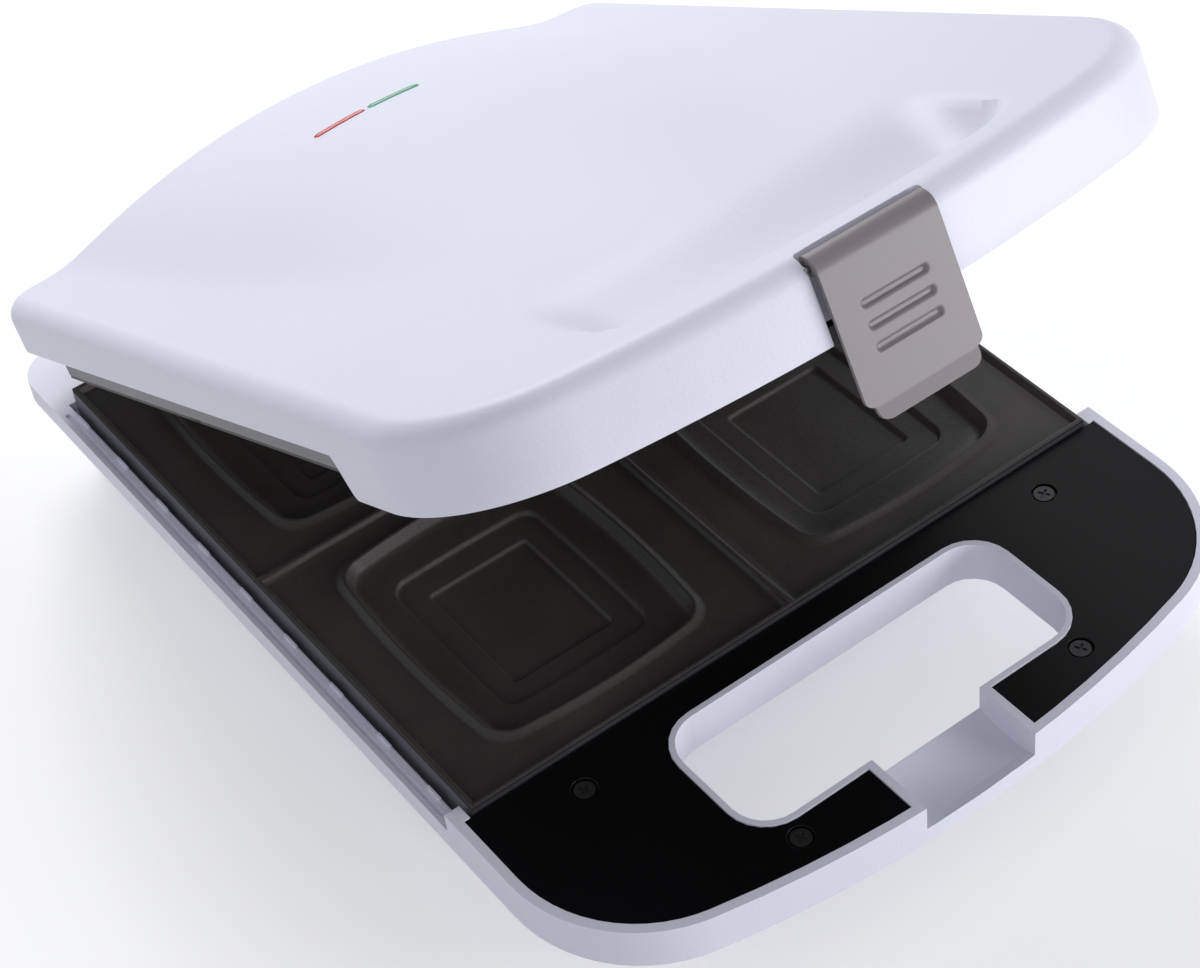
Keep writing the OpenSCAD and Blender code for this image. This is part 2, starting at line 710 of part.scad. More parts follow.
module bottom_screws() {
    length = tub_z + ledge_low - 6 + ledge_t - 1;
    lower_set() color("gray") for (p = tub_screw_at) translate([p[0], p[1], -tub_z + 1.8])
        rotate([180, 0, 0]) screw(head_r, 2.2, shank_r - 0.1, length);
}

// Ear beside a knuckle: an eye round the pin on a stem that stands in front of the axis
module ear() {
    eye_r = knuckle_r + 0.4;
    rotate([90, 0, 90]) linear_extrude(ear_t) difference() {
        union() {
            translate([hinge_y, hinge_z]) circle(eye_r);
            translate([hinge_y - ear_stem - 1, bracket_low]) square([ear_stem, hinge_z - bracket_low]);
        }
        translate([hinge_y, hinge_z]) circle(pin_r + 0.03);
    }
}

module hinge_brackets() {
    pad_half = ear_x + ear_t + 9;
    lower_set() color("#8d9096") for (s = [-1, 1]) translate([s * hinge_x, 0, 0]) difference() {
        union() {
            translate([-pad_half, hinge_y - 9, bracket_low]) cube([2 * pad_half, bracket_d, bracket_pad]);
            translate([ear_x, 0, 0]) ear();
            translate([-ear_x - ear_t, 0, 0]) ear();
        }
        for (e = [-1, 1]) translate([e * (ear_x + ear_t + 4.5), hinge_y - 1, bracket_low - over])
            cylinder(r = shank_r + 0.2, h = bracket_pad + 2 * over);
    }
}

module bracket_screws() {
    lower_set() color("gray") bracket_screw_places() translate([0, 0, bracket_pad + head_h])
        screw(head_r, head_h, shank_r - 0.1, bracket_pad + 5);
}

module hinge_pins() {
    length = 2 * (ear_x + ear_t) + 2;
    lower_set() color("lightgray") for (s = [-1, 1]) translate([s * hinge_x - length / 2, hinge_y, hinge_z])
        rotate([0, 90, 0]) cylinder(r = pin_r, h = length);
}

// Solid under the lid's top: a flat top that rises to the back and a crown over it
module lid_top(inset) {
    rise = atan((top_back - top_front) / (lid_back - front_y));
    // Flat top
    translate([-200, front_y - 20, top_front - inset - 20 * tan(rise)]) rotate([rise, 0, 0])
        translate([0, 0, -80]) cube([400, lid_back - front_y + 60, 80]);
    // Crown: an arc across the lid, swept along the ridge's arc
    translate([0, arc_y, arc_z]) rotate([ridge_lean, 0, 0]) rotate([0, -90, 0])
        rotate([0, 0, -ridge_sweep / 2]) rotate_extrude(angle = ridge_sweep, $fn = 720)
            intersection() {
                translate([ridge_r - crown_r, 0]) circle(crown_r - inset, $fn = 360);
                translate([ridge_r - 70, -crown_half + inset]) square([100, 2 * (crown_half - inset)]);
            }
}

module lid_form(inset, low) {
    intersection() {
        translate([0, 0, low]) linear_extrude(100) polygon(outline(inset, lid_back));
        lid_top(inset);
    }
}

// Finger scoop with a sloping floor, or the same form grown by a wall
module scoop_form(grow) {
    tilt = atan(scoop_z / (scoop_back - scoop_front));
    intersection() {
        translate([0, 0, -over]) linear_extrude(60)
            polygon(soft_box(-scoop_half - grow, scoop_front - grow, scoop_half + grow, scoop_back + 30, 14 + grow));
        translate([-100, scoop_back, top_front - grow]) rotate([tilt, 0, 0])
            translate([0, -100, 0]) cube([200, 100 + grow, 60]);
    }
}

module recess_form(grow) {
    translate([-recess_half - grow, front_y - 5, -10])
        cube([2 * (recess_half + grow), recess_d + 5 + grow, 60]);
}

module window_place() { translate([0, window_y, 0]) children(); }

module lid_shell() {
    upper_set() color("lavender") difference() {
        lid_form(0, -lid_skirt);
        // Side edges stand higher than the front skirt
        translate([-200, lid_step, -10]) cube([400, 400, lid_edge + 10]);
        difference() {
            lid_form(wall, -lid_skirt - over);
            for (p = lid_cover_screw_at) translate([p[0], p[1], lid_cover_top]) cylinder(r = post_r, h = 60);
            for (p = lid_screw_at) translate([p[0], p[1], frame_top]) cylinder(r = post_r, h = 60);
            scoop_form(wall);
            recess_form(wall);
        }
        scoop_form(0);
        recess_form(0);
        for (p = lid_cover_screw_at) translate([p[0], p[1], lid_cover_top - over])
            cylinder(r = shank_r - 0.1, h = over + 9);
        for (p = lid_screw_at) translate([p[0], p[1], frame_top - over])
            cylinder(r = shank_r - 0.1, h = over + 4);
        // Holes for the latch's pin
        translate([-recess_half - wall - over, latch_pin_y, latch_pin_z]) rotate([0, 90, 0])
            cylinder(r = latch_pin_r + 0.05, h = 2 * (recess_half + wall + over));
        window_place() translate([-window_half, -window_w / 2, 20]) cube([2 * window_half, window_w, 60]);
    }
}

module lid_frame() {
    upper_set() color("gainsboro") difference() {
        translate([0, 0, frame_low]) linear_extrude(ledge_t) difference() {
            polygon(outline(wall + play, lid_back));
            before(-18);
            translate([-plate_w / 2 + ledge_w, ledge_d]) square([plate_w - 2 * ledge_w, plate_d - 2 * ledge_d]);
            for (s = [-1, 1]) translate([s * hinge_x - ear_x - ear_t - 1.5, hinge_y - 12])
                square([2 * (ear_x + ear_t) + 3, 40]);
        }
        for (p = lid_screw_at) translate([p[0], p[1], frame_low - over]) {
            cylinder(r = shank_r + 0.2, h = ledge_t + 2 * over);
            cylinder(r = head_r + 0.2, h = over + 2);
        }
        knuckle_screw_places() translate([0, 0, -ledge_t - over]) cylinder(r = shank_r - 0.1, h = ledge_t + 2 * over);
    }
}

module lid_handle_cover() {
    upper_set() color("#1b1b1e") difference() {
        translate([0, 0, lid_cover_low]) linear_extrude(cover_t) difference() {
            intersection() {
                polygon(outline(wall + play, lid_back));
                before(cover_rear - 2);
            }
            translate([-recess_half - wall - play, front_y])
                square([2 * (recess_half + wall + play), recess_d + wall + play]);
        }
        for (p = lid_cover_screw_at) translate([p[0], p[1], lid_cover_low - over])
            cylinder(r = shank_r + 0.2, h = cover_t + 2 * over);
        translate([0, 0, lid_cover_low - over]) for (p = lid_cover_screw_at) translate([p[0], p[1], 0])
            cylinder(r = head_r + 0.3, h = over + 1.2);
    }
}

module lid_cover_screws() {
    upper_set() color("#101012") for (p = lid_cover_screw_at) translate([p[0], p[1], lid_cover_low + 0.2])
        rotate([180, 0, 0]) screw(head_r, 1, shank_r - 0.1, 9);
}

module upper_plate() { upper_set() color("#2b2a29") flipped() plate(); }

module upper_element() { upper_set() color("#6b6660") flipped() element(); }

module upper_reflector() { upper_set() color("silver") flipped() reflector(); }

module upper_plate_screws() { upper_set() color("gray") flipped() plate_screws(); }

module lid_screws() {
    upper_set() color("gray") for (p = lid_screw_at) translate([p[0], p[1], frame_low + 0.1])
        rotate([180, 0, 0]) screw(head_r, 1.9, shank_r - 0.1, 5);
}

// Places of the knuckle screws, on the frame's top
module knuckle_screw_places() {
    for (s = [-1, 1], e = [-1, 1])
        translate([s * hinge_x + e * (ear_x + ear_t + 6.5), hinge_y - 3, frame_top]) children();
}

module lid_knuckles() {
    pad_half = ear_x + ear_t + 11;
    upper_set() color("#8d9096") for (s = [-1, 1]) translate([s * hinge_x, 0, 0]) difference() {
        union() {
            translate([-pad_half, hinge_y - 16, frame_top]) cube([2 * pad_half, 23, pad_top - frame_top]);
            translate([-knuckle_w / 2, hinge_y - 4, hinge_z]) cube([knuckle_w, 8, frame_top - hinge_z + 0.5]);
            translate([-knuckle_w / 2, hinge_y, hinge_z]) rotate([0, 90, 0]) cylinder(r = knuckle_r, h = knuckle_w);
        }
        translate([-knuckle_w / 2 - over, hinge_y, hinge_z]) rotate([0, 90, 0])
            cylinder(r = pin_r + pin_play, h = knuckle_w + 2 * over);
        for (e = [-1, 1]) translate([e * (ear_x + ear_t + 6.5), hinge_y - 3, frame_top - over])
            cylinder(r = shank_r + 0.2, h = 5);
    }
}

module knuckle_screws() {
    upper_set() color("gray") knuckle_screw_places() translate([0, 0, pad_top - frame_top + head_h])
        screw(head_r, head_h, shank_r - 0.1, pad_top - frame_top + ledge_t - 1);
}

// Window of one colour, its face following the crown's top
module lens(from) {
    intersection() {
        window_place() translate([from, -window_w / 2 + 0.1, holder_top])
            cube([window_half - 0.1, window_w - 0.2, 40]);
        translate([0, window_y, window_z]) rotate([window_tilt + 90, 0, 0])
            translate([0, -crown_r, -20]) cylinder(r = crown_r, h = 40, $fn = 360);
    }
}

module red_lens() { upper_set() color("#e2434a") lens(-window_half + 0.1); }

module green_lens() { upper_set() color("#35b26a") lens(0); }

module lamp_holder() {
    upper_set() color("ivory") window_place() translate([-window_half - 3, -6, holder_top - 14])
        difference() {
            cube([2 * window_half + 6, 12, 14]);
            for (s = [0, 1]) translate([4 + s * (window_half + 1), 3, 4]) cube([window_half - 4, 6, 20]);
        }
}

module indicator_lamps() {
    upper_set() color("#f0e0c0") window_place() for (s = [-1, 1])
        translate([s * window_half / 2 - 6, 0, holder_top - 10 + 2.4]) rotate([0, 90, 0]) cylinder(r = 2.3, h = 12);
}

module latch_pin() {
    length = 2 * (recess_half + wall);
    upper_set() color("lightgray") translate([-length / 2, latch_pin_y, latch_pin_z]) rotate([0, 90, 0])
        cylinder(r = latch_pin_r, h = length);
}

// Side view of the latch: over the bend, down the plate's face, along the lip and back up inside
function latch_side() = let (
        low = -latch_fold,
        foot = low - latch_lip,
        flare = 1,
        bend_z = latch_top - latch_bend
    )
    concat(
        [[latch_bend_y + 0.8, latch_top - 0.6]],
        arc(latch_bend_y, bend_z, latch_bend, 180, 270, 8),
        [[latch_face, low], [latch_face - flare, foot], [latch_face - flare + latch_t, foot],
         [latch_face + latch_t, low]],
        arc(latch_bend_y, bend_z, latch_bend - latch_t, 270, 180, 8),
        [[latch_bend_y + 0.8, latch_top - latch_t]]
    );

// Latch: a barrel on its pin, a bend over it, the flat plate, its catch and a lip under the fold
module latch() {
    low = -latch_fold;
    foot = low - latch_lip;
    upper_set() color("#79706f") difference() {
        intersection() {
            rotate([90, 0, 90]) translate([0, 0, -latch_half]) linear_extrude(2 * latch_half) {
                translate([latch_pin_y, latch_pin_z]) circle(latch_barrel_r);
                polygon(latch_side());
                translate([latch_face + latch_t - 0.5, catch_top - catch_t]) square([catch_l + 0.5, catch_t]);
            }
            // Front view of the latch: soft lower corners and a narrower lip
            translate([0, front_y + 30, 0]) rotate([90, 0, 0]) linear_extrude(80) {
                polygon(soft_box(-latch_half, low - 0.6, latch_half, latch_top + 20, 3));
                polygon(soft_box(-latch_half + 2.2, foot, latch_half - 2.2, low + 20, 3.4));
            }
        }
        translate([-latch_half - over, latch_pin_y, latch_pin_z]) rotate([0, 90, 0])
            cylinder(r = latch_pin_r + pin_play, h = 2 * (latch_half + over));
        // Three pressed grooves
        for (k = [-1 : 1]) translate([-groove_half, latch_face - 0.3, k * groove_step])
            rotate([0, 90, 0]) cylinder(r = 1, h = 2 * groove_half, $fn = 32);
    }
}

base_shell();
bottom_cover();
handle_cover();
cover_screws();
lower_plate();
lower_element();
lower_reflector();
lower_plate_screws();
thermostat();
thermal_fuse();
terminal_block();
cord_bush();
rubber_feet();
bottom_screws();
hinge_brackets();
bracket_screws();
hinge_pins();
lid_shell();
lid_frame();
lid_handle_cover();
lid_cover_screws();
upper_plate();
upper_element();
upper_reflector();
upper_plate_screws();
lid_screws();
lid_knuckles();
knuckle_screws();
red_lens();
green_lens();
lamp_holder();
indicator_lamps();
latch_pin();
latch();
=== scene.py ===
# %% [markdown]
# # A sandwich toaster with its lid partly open
# The toaster is two shallow housings joined at the back by a pair of hinges. Each half
# carries a cast cooking plate. This lesson dresses the measured model: it keeps the metal
# parts as they are, and works out the smooth skins, the plates and the latch with numpy.

# %% Load the measured model
import json
import math
import bmesh
import bpy
import numpy as np
from mathutils import Matrix, Vector


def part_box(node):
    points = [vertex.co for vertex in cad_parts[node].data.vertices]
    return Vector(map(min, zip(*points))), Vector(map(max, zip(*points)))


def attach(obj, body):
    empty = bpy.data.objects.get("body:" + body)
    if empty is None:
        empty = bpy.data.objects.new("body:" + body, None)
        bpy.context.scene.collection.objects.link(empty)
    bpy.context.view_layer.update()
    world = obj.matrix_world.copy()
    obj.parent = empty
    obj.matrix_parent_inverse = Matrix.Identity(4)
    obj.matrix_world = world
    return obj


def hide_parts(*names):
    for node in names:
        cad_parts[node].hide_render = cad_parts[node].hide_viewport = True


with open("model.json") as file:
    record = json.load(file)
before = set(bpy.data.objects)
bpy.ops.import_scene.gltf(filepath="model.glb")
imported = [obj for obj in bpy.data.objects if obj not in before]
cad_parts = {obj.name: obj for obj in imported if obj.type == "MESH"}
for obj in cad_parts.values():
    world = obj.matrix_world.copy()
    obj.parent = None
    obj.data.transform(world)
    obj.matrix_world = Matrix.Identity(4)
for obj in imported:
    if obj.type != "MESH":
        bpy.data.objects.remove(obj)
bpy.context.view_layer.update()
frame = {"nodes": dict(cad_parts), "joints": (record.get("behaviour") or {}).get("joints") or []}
nodes = frame["nodes"]

# %% [markdown]
# Every shape below is thought out round the lower plate: x to the right, y to the back,
# z up, in millimetres, with zero at the front edge of the plate's rim. The lid is thought
# out shut, and then turned about the hinge. Two small functions do that moving.

# %% Places and turns
MM = 0.001
plate_low, plate_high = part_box("lower_plate")
HINGE = next(j for j in frame["joints"] if j["name"] == "lid_hinge")
HINGE_Y = HINGE["pos_m"][1] / MM - plate_low.y / MM
HINGE_Z = HINGE["pos_m"][2] / MM - plate_high.z / MM
OPEN = -math.radians(HINGE["range_deg"][0])


def base_place(points):
    """Metres in the shared frame, from millimetres round the lower plate."""
    moved = np.array(points, float) * MM
    moved[..., 1] += plate_low.y
    moved[..., 2] += plate_high.z
    return moved


def lid_turn(points, angle=OPEN):
    """Turns shut lid points about the hinge line: y' = y cos a + z sin a, z' = z cos a - y sin a."""
    p = np.array(points, float)
    y, z = p[..., 1] - HINGE_Y, p[..., 2] - HINGE_Z
    p[..., 1] = HINGE_Y + y * math.cos(angle) + z * math.sin(angle)
    p[..., 2] = HINGE_Z - y * math.sin(angle) + z * math.cos(angle)
    return p


def lid_place(points):
    """Shut lid points, turned open and moved to the shared frame."""
    return base_place(lid_turn(points))


print("hinge at y", round(HINGE_Y, 2), "z", round(HINGE_Z, 2), "open", round(math.degrees(OPEN), 1))

# %% [markdown]
# ## The camera
# The camera comes first, so that every later render can be laid over the photograph. Its
# place and its three directions are in the same millimetres as the shapes.

# %% Camera
LENS_PX = 2796.48
IMAGE_W = 1200
camera_data = bpy.data.cameras.new("camera")
camera_data.sensor_width = 36.0
camera_data.lens = LENS_PX / IMAGE_W * camera_data.sensor_width
camera = bpy.data.objects.new("camera", camera_data)
bpy.context.scene.collection.objects.link(camera)
camera_at = Vector(base_place([-358.0, -482.9, 653.1]))
look = Vector((0.3697, 0.6093, -0.7014)).normalized()
right = Vector((0.7982, -0.5947, -0.0959))
right = (right - look * right.dot(look)).normalized()
up = right.cross(look)
turn = Matrix((right, up, -look)).transposed().to_4x4()
camera.matrix_world = Matrix.Translation(camera_at) @ turn
camera_data.clip_start = 0.05
camera_data.clip_end = 30
bpy.context.scene.camera = camera
print("lens", round(camera_data.lens, 2), "mm")

# %% [markdown]
# ## Meshes from arrays
# A surface is a grid of points: rows along one parameter, columns along the other. The
# helper below joins neighbouring points into four-sided faces without a Python loop.


# %% Grid faces and mesh objects
def grid_faces(index, wrap=False):
    """Quads (a, b, c, d) from an index grid, where b is beside a and d is in the next row."""
    a, b = (index, np.roll(index, -1, 1)) if wrap else (index[:, :-1], index[:, 1:])
    return np.stack([a[:-1], b[:-1], b[1:], a[1:]], -1).reshape(-1, 4)


def make_mesh(name, points, faces, smooth=True):
    """A linked object whose mesh holds these points and faces, filled by foreach_set."""
    mesh = bpy.data.meshes.new(name)
    loops = np.concatenate([np.asarray(f).reshape(-1) for f in faces])
    sizes = np.concatenate([np.full(len(f), np.asarray(f).shape[1]) for f in faces])
    mesh.vertices.add(len(points))
    mesh.loops.add(len(loops))
    mesh.polygons.add(len(sizes))
    mesh.vertices.foreach_set("co", np.asarray(points, np.float32).ravel())
    mesh.loops.foreach_set("vertex_index", loops.astype(np.int32))
    mesh.polygons.foreach_set("loop_start", np.concatenate([[0], np.cumsum(sizes)[:-1]]).astype(np.int32))
    mesh.polygons.foreach_set("use_smooth", np.full(len(sizes), smooth))
    mesh.update(calc_edges=True)
    mesh.validate()
    thing = bpy.data.objects.new(name, mesh)
    bpy.context.scene.collection.objects.link(thing)
    return thing


def baked(thing):
    """The same object with its modifiers worked into its mesh."""
    depsgraph = bpy.context.evaluated_depsgraph_get()
    mesh = bpy.data.meshes.new_from_object(thing.evaluated_get(depsgraph))
    thing.modifiers.clear()
    thing.data = mesh
    return thing


def smoothstep(low, high, value):
    """0 below low, 1 above high, and 3t^2 - 2t^3 between."""
    t = np.clip((np.asarray(value, float) - low) / (high - low), 0, 1)
    return t * t * (3 - 2 * t)


# %% [markdown]
# ## The housing's outline
# Both halves share one outline: a front bowed at a large radius, two wide front corners,
# straight sides and two small back corners. It is a chain of arcs, so drawing it in by a
# distance only takes that distance off each radius.

# %% Outline of the housing
HALF_W = 132.0
FRONT_Y = -88.5
FRONT_R = 410.0
CORNER_R = 50.0
BACK_R = 14.0
LID_BACK = 276.0
LEAST_R = 0.01


def arc(cx, cy, radius, start, stop, count):
    """Points at angles measured from straight forward towards the right."""
    a = np.radians(np.linspace(start, stop, count + 1))
    return np.stack([cx + radius * np.sin(a), cy - radius * np.cos(a)], -1)


def quarter_curves(inset, back, straight, counts):
    """The right half of the outline in three stretches: half the front, the side, half the back."""
    cx = HALF_W - CORNER_R
    fy = FRONT_Y + FRONT_R
    cy = fy - math.sqrt((FRONT_R - CORNER_R) ** 2 - cx * cx)
    meet = math.degrees(math.asin(cx / (FRONT_R - CORNER_R)))
    middle = (meet + 90) / 2
    n_front, n_corner, n_back_corner, n_back = counts
    front = np.concatenate([arc(0, fy, FRONT_R - inset, 0, meet, n_front),
                            arc(cx, cy, CORNER_R - inset, meet, middle, n_corner)[1:]])
    bx, by = HALF_W - BACK_R, back - BACK_R
    rise = np.stack([np.full(len(straight), HALF_W - inset), straight], -1)
    side = np.concatenate([arc(cx, cy, CORNER_R - inset, middle, 90, n_corner),
                           rise, arc(bx, by, max(BACK_R - inset, LEAST_R), 90, 135, n_back_corner)])
    tail = arc(bx, by, max(BACK_R - inset, LEAST_R), 135, 180, n_back_corner)
    flat = np.stack([np.linspace(bx, 0, n_back + 1)[1:], np.full(n_back, back - inset)], -1)
    return front, side, np.concatenate([tail, flat])


def outline_sides(inset, back, straight, counts):
    """Front, right, back and left curves, each running the same way as its opposite."""
    front, side, tail = quarter_curves(inset, back, straight, counts)
    flip = np.array([-1, 1])
    whole_front = np.concatenate([(front * flip)[::-1], front[1:]])
    whole_back = np.concatenate([tail * flip, tail[::-1][1:]])
    return whole_front, side, whole_back, side * flip


def loop_of(front, side, back, left):
    """One closed ring, anticlockwise seen from above, from the front's left end."""
    return np.concatenate([front[:-1], side[:-1], back[::-1][:-1], left[::-1][:-1]])


def patch(front, side, back, left):
    """Coons patch: the blend of opposite sides less the blend of the four corners."""
    def share(curve):
        steps = np.linalg.norm(np.diff(curve, axis=0), axis=1)
        return np.concatenate([[0], np.cumsum(steps)]) / steps.sum()
    s, t = share(front)[None, :, None], share(side)[:, None, None]
    across = (1 - t) * front[None] + t * back[None]
    along = (1 - s) * left[:, None] + s * side[:, None]
    corners = ((1 - s) * (1 - t) * front[0] + s * (1 - t) * front[-1]
               + (1 - s) * t * back[0] + s * t * back[-1])
    return across + along - corners


def patch_ring(rows, columns):
    """Indices of a patch's border in the order of loop_of."""
    index = np.arange(rows * columns).reshape(rows, columns)
    return np.concatenate([index[0, :-1], index[:-1, -1], index[-1, ::-1][:-1], index[::-1, 0][:-1]])


# %% [markdown]
# ## The lid's skin
# On the real lid one moulding makes the top, the soft shoulder and the walls. The top is
# flat along the edges and swells into a crown that is highest at the back. A finger scoop
# is pressed into its front. The height is a formula of x and y, and a ring of quarter
# arcs carries the top over into the wall.

# %% Heights of the lid
TOP_FRONT, TOP_BACK = 25.0, 31.0
CROWN_FRONT, CROWN_BACK, CROWN_START = 24.5, 50.5, -22.0
CROWN_R, RIDGE_R = 290.0, 3100.0
SCOOP_HALF, SCOOP_FRONT, SCOOP_RUN, SCOOP_DEEP = 72.0, -74.0, 62.0, 11.0
SCOOP_SLOPE_RUN, SCOOP_END_R, SCOOP_LEVEL = 19.0, 16.0, 0.22
# Width over which the crease between the flat top and the crown is filled
CROWN_BLEND = 3.0
# Further out than this an arc across the lid is held level, so that its root stays real
FAR_X = 200.0


def flat_top(y):
    """The flat part of the top, rising evenly from the front to the back."""
    return TOP_FRONT + (TOP_BACK - TOP_FRONT) * (y - FRONT_Y) / (LID_BACK - FRONT_Y)


def ridge(y):
    """The crown's ridge: an arc through its front and back ends."""
    run, climb = LID_BACK - CROWN_START, CROWN_BACK - CROWN_FRONT
    half = math.hypot(run, climb) / 2
    lean = math.atan2(climb, run)
    drop = math.sqrt(RIDGE_R ** 2 - half ** 2)
    cy = (LID_BACK + CROWN_START) / 2 + drop * math.sin(lean)
    cz = (CROWN_BACK + CROWN_FRONT) / 2 - drop * math.cos(lean)
    return cz + np.sqrt(RIDGE_R ** 2 - (y - cy) ** 2)


def crown(x, y):
    """The ridge less the sagitta of an arc across the lid."""
    return ridge(y) - CROWN_R + np.sqrt(CROWN_R ** 2 - np.minimum(np.abs(x), FAR_X) ** 2)


def soft_max(a, b, width):
    """The larger of two heights, with the crease between them filled to a width."""
    return (a + b + np.sqrt((a - b) ** 2 + width ** 2)) / 2


def scoop(x, y):
    """Depth of the finger scoop: a dish that falls away from a crisp front edge and rises again.

    depth = deep x (1 - (1 - inside / run)^2) x ease, where inside is the distance from the
    rounded front and ends, and ease falls smoothly from 1 to 0 towards the back.
    """
    fy = FRONT_Y + FRONT_R
    edge = fy - np.sqrt((FRONT_R + FRONT_Y - SCOOP_FRONT) ** 2 - np.minimum(np.abs(x), FAR_X) ** 2)
    past_x = np.abs(x) - (SCOOP_HALF - SCOOP_END_R)
    past_y = (edge + SCOOP_END_R) - y
    corner = np.hypot(np.maximum(past_x, 0), np.maximum(past_y, 0))
    inside = SCOOP_END_R - corner - np.minimum(np.maximum(past_x, past_y), 0)
    wall = 1 - (1 - np.clip(inside / SCOOP_SLOPE_RUN, 0, 1)) ** 2
    ease = 1 - smoothstep(SCOOP_LEVEL * SCOOP_RUN, SCOOP_RUN, y - edge)
    return SCOOP_DEEP * wall * ease


def lid_top(x, y):
    """Height of the finished top."""
    return soft_max(flat_top(y), crown(x, y), CROWN_BLEND) - scoop(x, y)


print("crown at the back", round(float(lid_top(np.array(0.0), np.array(LID_BACK))), 1))

# %% [markdown]
# The skin is one closed solid. Its rings share one order of points: the shoulder's arcs,
# the wall, the rounded foot, and then a flat cap that closes it inside the lid.

# %% Skin of the lid
LID_EDGE, LID_SKIRT, LID_STEP = 12.0, -1.0, -4.0
STEP_AHEAD, STEP_BEHIND = 4.5, 3.5
SHOULDER_R = 7.0
SHOULDER_ANGLES = np.radians(np.linspace(80, 0, 9))
WALL = 2.5
WALL_SHARES = (0.35, 0.7)
# Inset and lift of each ring round the wall's foot
FOOT_RINGS = ((0, 0.8), (0.25, 0.25), (0.8, 0), (WALL - 0.5, 0), (WALL, 0.5))
CAP_BACK, CAP_FRONT, CAP_STEP = 18.3, 4.2, LID_STEP - 4
# Rows along the straight sides, close together where the wall's foot steps up
SIDE_ROWS = np.concatenate([np.linspace(-26, -10, 7), np.linspace(-9.4, 1.4, 19), np.linspace(4, 256, 80)])
# Points on half the front, on half a front corner, on half a back corner, and on half the back
OUTLINE_COUNTS = (34, 26, 6, 54)


def lid_wall_foot(y):
    """Lower edge of the wall: deep round the front, higher along the sides and the back."""
    return LID_SKIRT + (LID_EDGE - LID_SKIRT) * smoothstep(LID_STEP - STEP_AHEAD, LID_STEP + STEP_BEHIND, y)


def lid_wall(p, share):
    """Height on the wall, a share of the way from the shoulder to just above the foot."""
    shoulder = lid_top(p[:, 0], p[:, 1]) - SHOULDER_R
    return (1 - share) * shoulder + share * (lid_wall_foot(p[:, 1]) + FOOT_RINGS[0][1])


def cap_height(p):
    """Height of the inner cap: lower in front, where the wall is deep."""
    return np.where(p[..., 1] < CAP_STEP, CAP_FRONT, CAP_BACK)


def lid_skin():
    """Closed solid: patch on top, shoulder arcs, wall, rim, inner wall and an inner cap."""
    def sides(inset):
        return outline_sides(inset, LID_BACK, SIDE_ROWS, OUTLINE_COUNTS)

    rings = []

    def ring(inset, height):
        flat = loop_of(*sides(inset))
        rings.append(np.concatenate([flat, height(flat)[:, None]], -1))

    grid = patch(*sides(SHOULDER_R))
    rows, columns = grid.shape[:2]
    top_points = np.concatenate([grid, lid_top(grid[..., 0], grid[..., 1])[..., None]], -1)
    for a in SHOULDER_ANGLES:
        drop = SHOULDER_R * (1 - math.sin(a))
        ring(SHOULDER_R * (1 - math.cos(a)), lambda p, d=drop: lid_top(p[:, 0], p[:, 1]) - d)
    for share in WALL_SHARES:
        ring(0, lambda p, s=share: lid_wall(p, s))
    for inset, lift in FOOT_RINGS:
        ring(inset, lambda p, h=lift: lid_wall_foot(p[:, 1]) + h)
    ring(WALL, cap_height)
    cap = patch(*sides(WALL))
    cap_points = np.concatenate([cap, cap_height(cap)[..., None]], -1)
    n_top = rows * columns
    ring_n = len(rings[0])
    index = np.arange(n_top).reshape(rows, columns)
    border = patch_ring(rows, columns)
    ring_index = n_top + np.arange(len(rings) * ring_n).reshape(len(rings), ring_n)
    cap_index = n_top + len(rings) * ring_n + index
    cap_border = n_top + len(rings) * ring_n + border
    band = np.concatenate([border[None], ring_index, cap_border[None]])
    points = np.concatenate([top_points.reshape(-1, 3), np.concatenate(rings), cap_points.reshape(-1, 3)])
    faces = [grid_faces(index), grid_faces(band, wrap=True)[:, ::-1], grid_faces(cap_index)[:, ::-1]]
    skin = make_mesh("lid_skin", lid_place(points), faces)
    print("lid skin:", len(points), "points")
    return skin


skin = lid_skin()

# %% [markdown]
# The latch hangs in a recess in the middle of the lid's front. A small block, rounded at
# its upright edges, is taken out of the skin with a Boolean, and the result is baked, so
# that its sharp edges can be marked by angle.


# %% Latch recess
def prism(name, outline, low, high, place):
    """Upright block over a closed outline."""
    outline = np.asarray(outline, float)
    n = len(outline)
    points = np.concatenate([np.concatenate([outline, np.full((n, 1), z)], -1) for z in (low, high)])
    index = np.arange(2 * n).reshape(2, n)
    faces = [grid_faces(index, wrap=True), index[0][::-1][None], index[1][None]]
    return make_mesh(name, place(points), faces, smooth=False)


def rounded_rectangle(x0, y0, x1, y1, radius, count=6):
    """Closed outline with four quarter arcs."""
    corners = ((x1 - radius, y0 + radius, 0), (x1 - radius, y1 - radius, 90),
               (x0 + radius, y1 - radius, 180), (x0 + radius, y0 + radius, 270))
    return np.concatenate([arc(cx, cy, radius, a, a + 90, count) for cx, cy, a in corners])


def carve(thing, tool):
    """Takes a block out of an object and bakes the result."""
    modifier = thing.modifiers.new("carve", "BOOLEAN")
    modifier.operation = "DIFFERENCE"
    modifier.solver = "EXACT"
    modifier.object = tool
    baked(thing)
    bpy.data.objects.remove(tool)


RECESS_HALF, RECESS_DEEP, RECESS_ROUND = 21.6, 6.0, 1.6
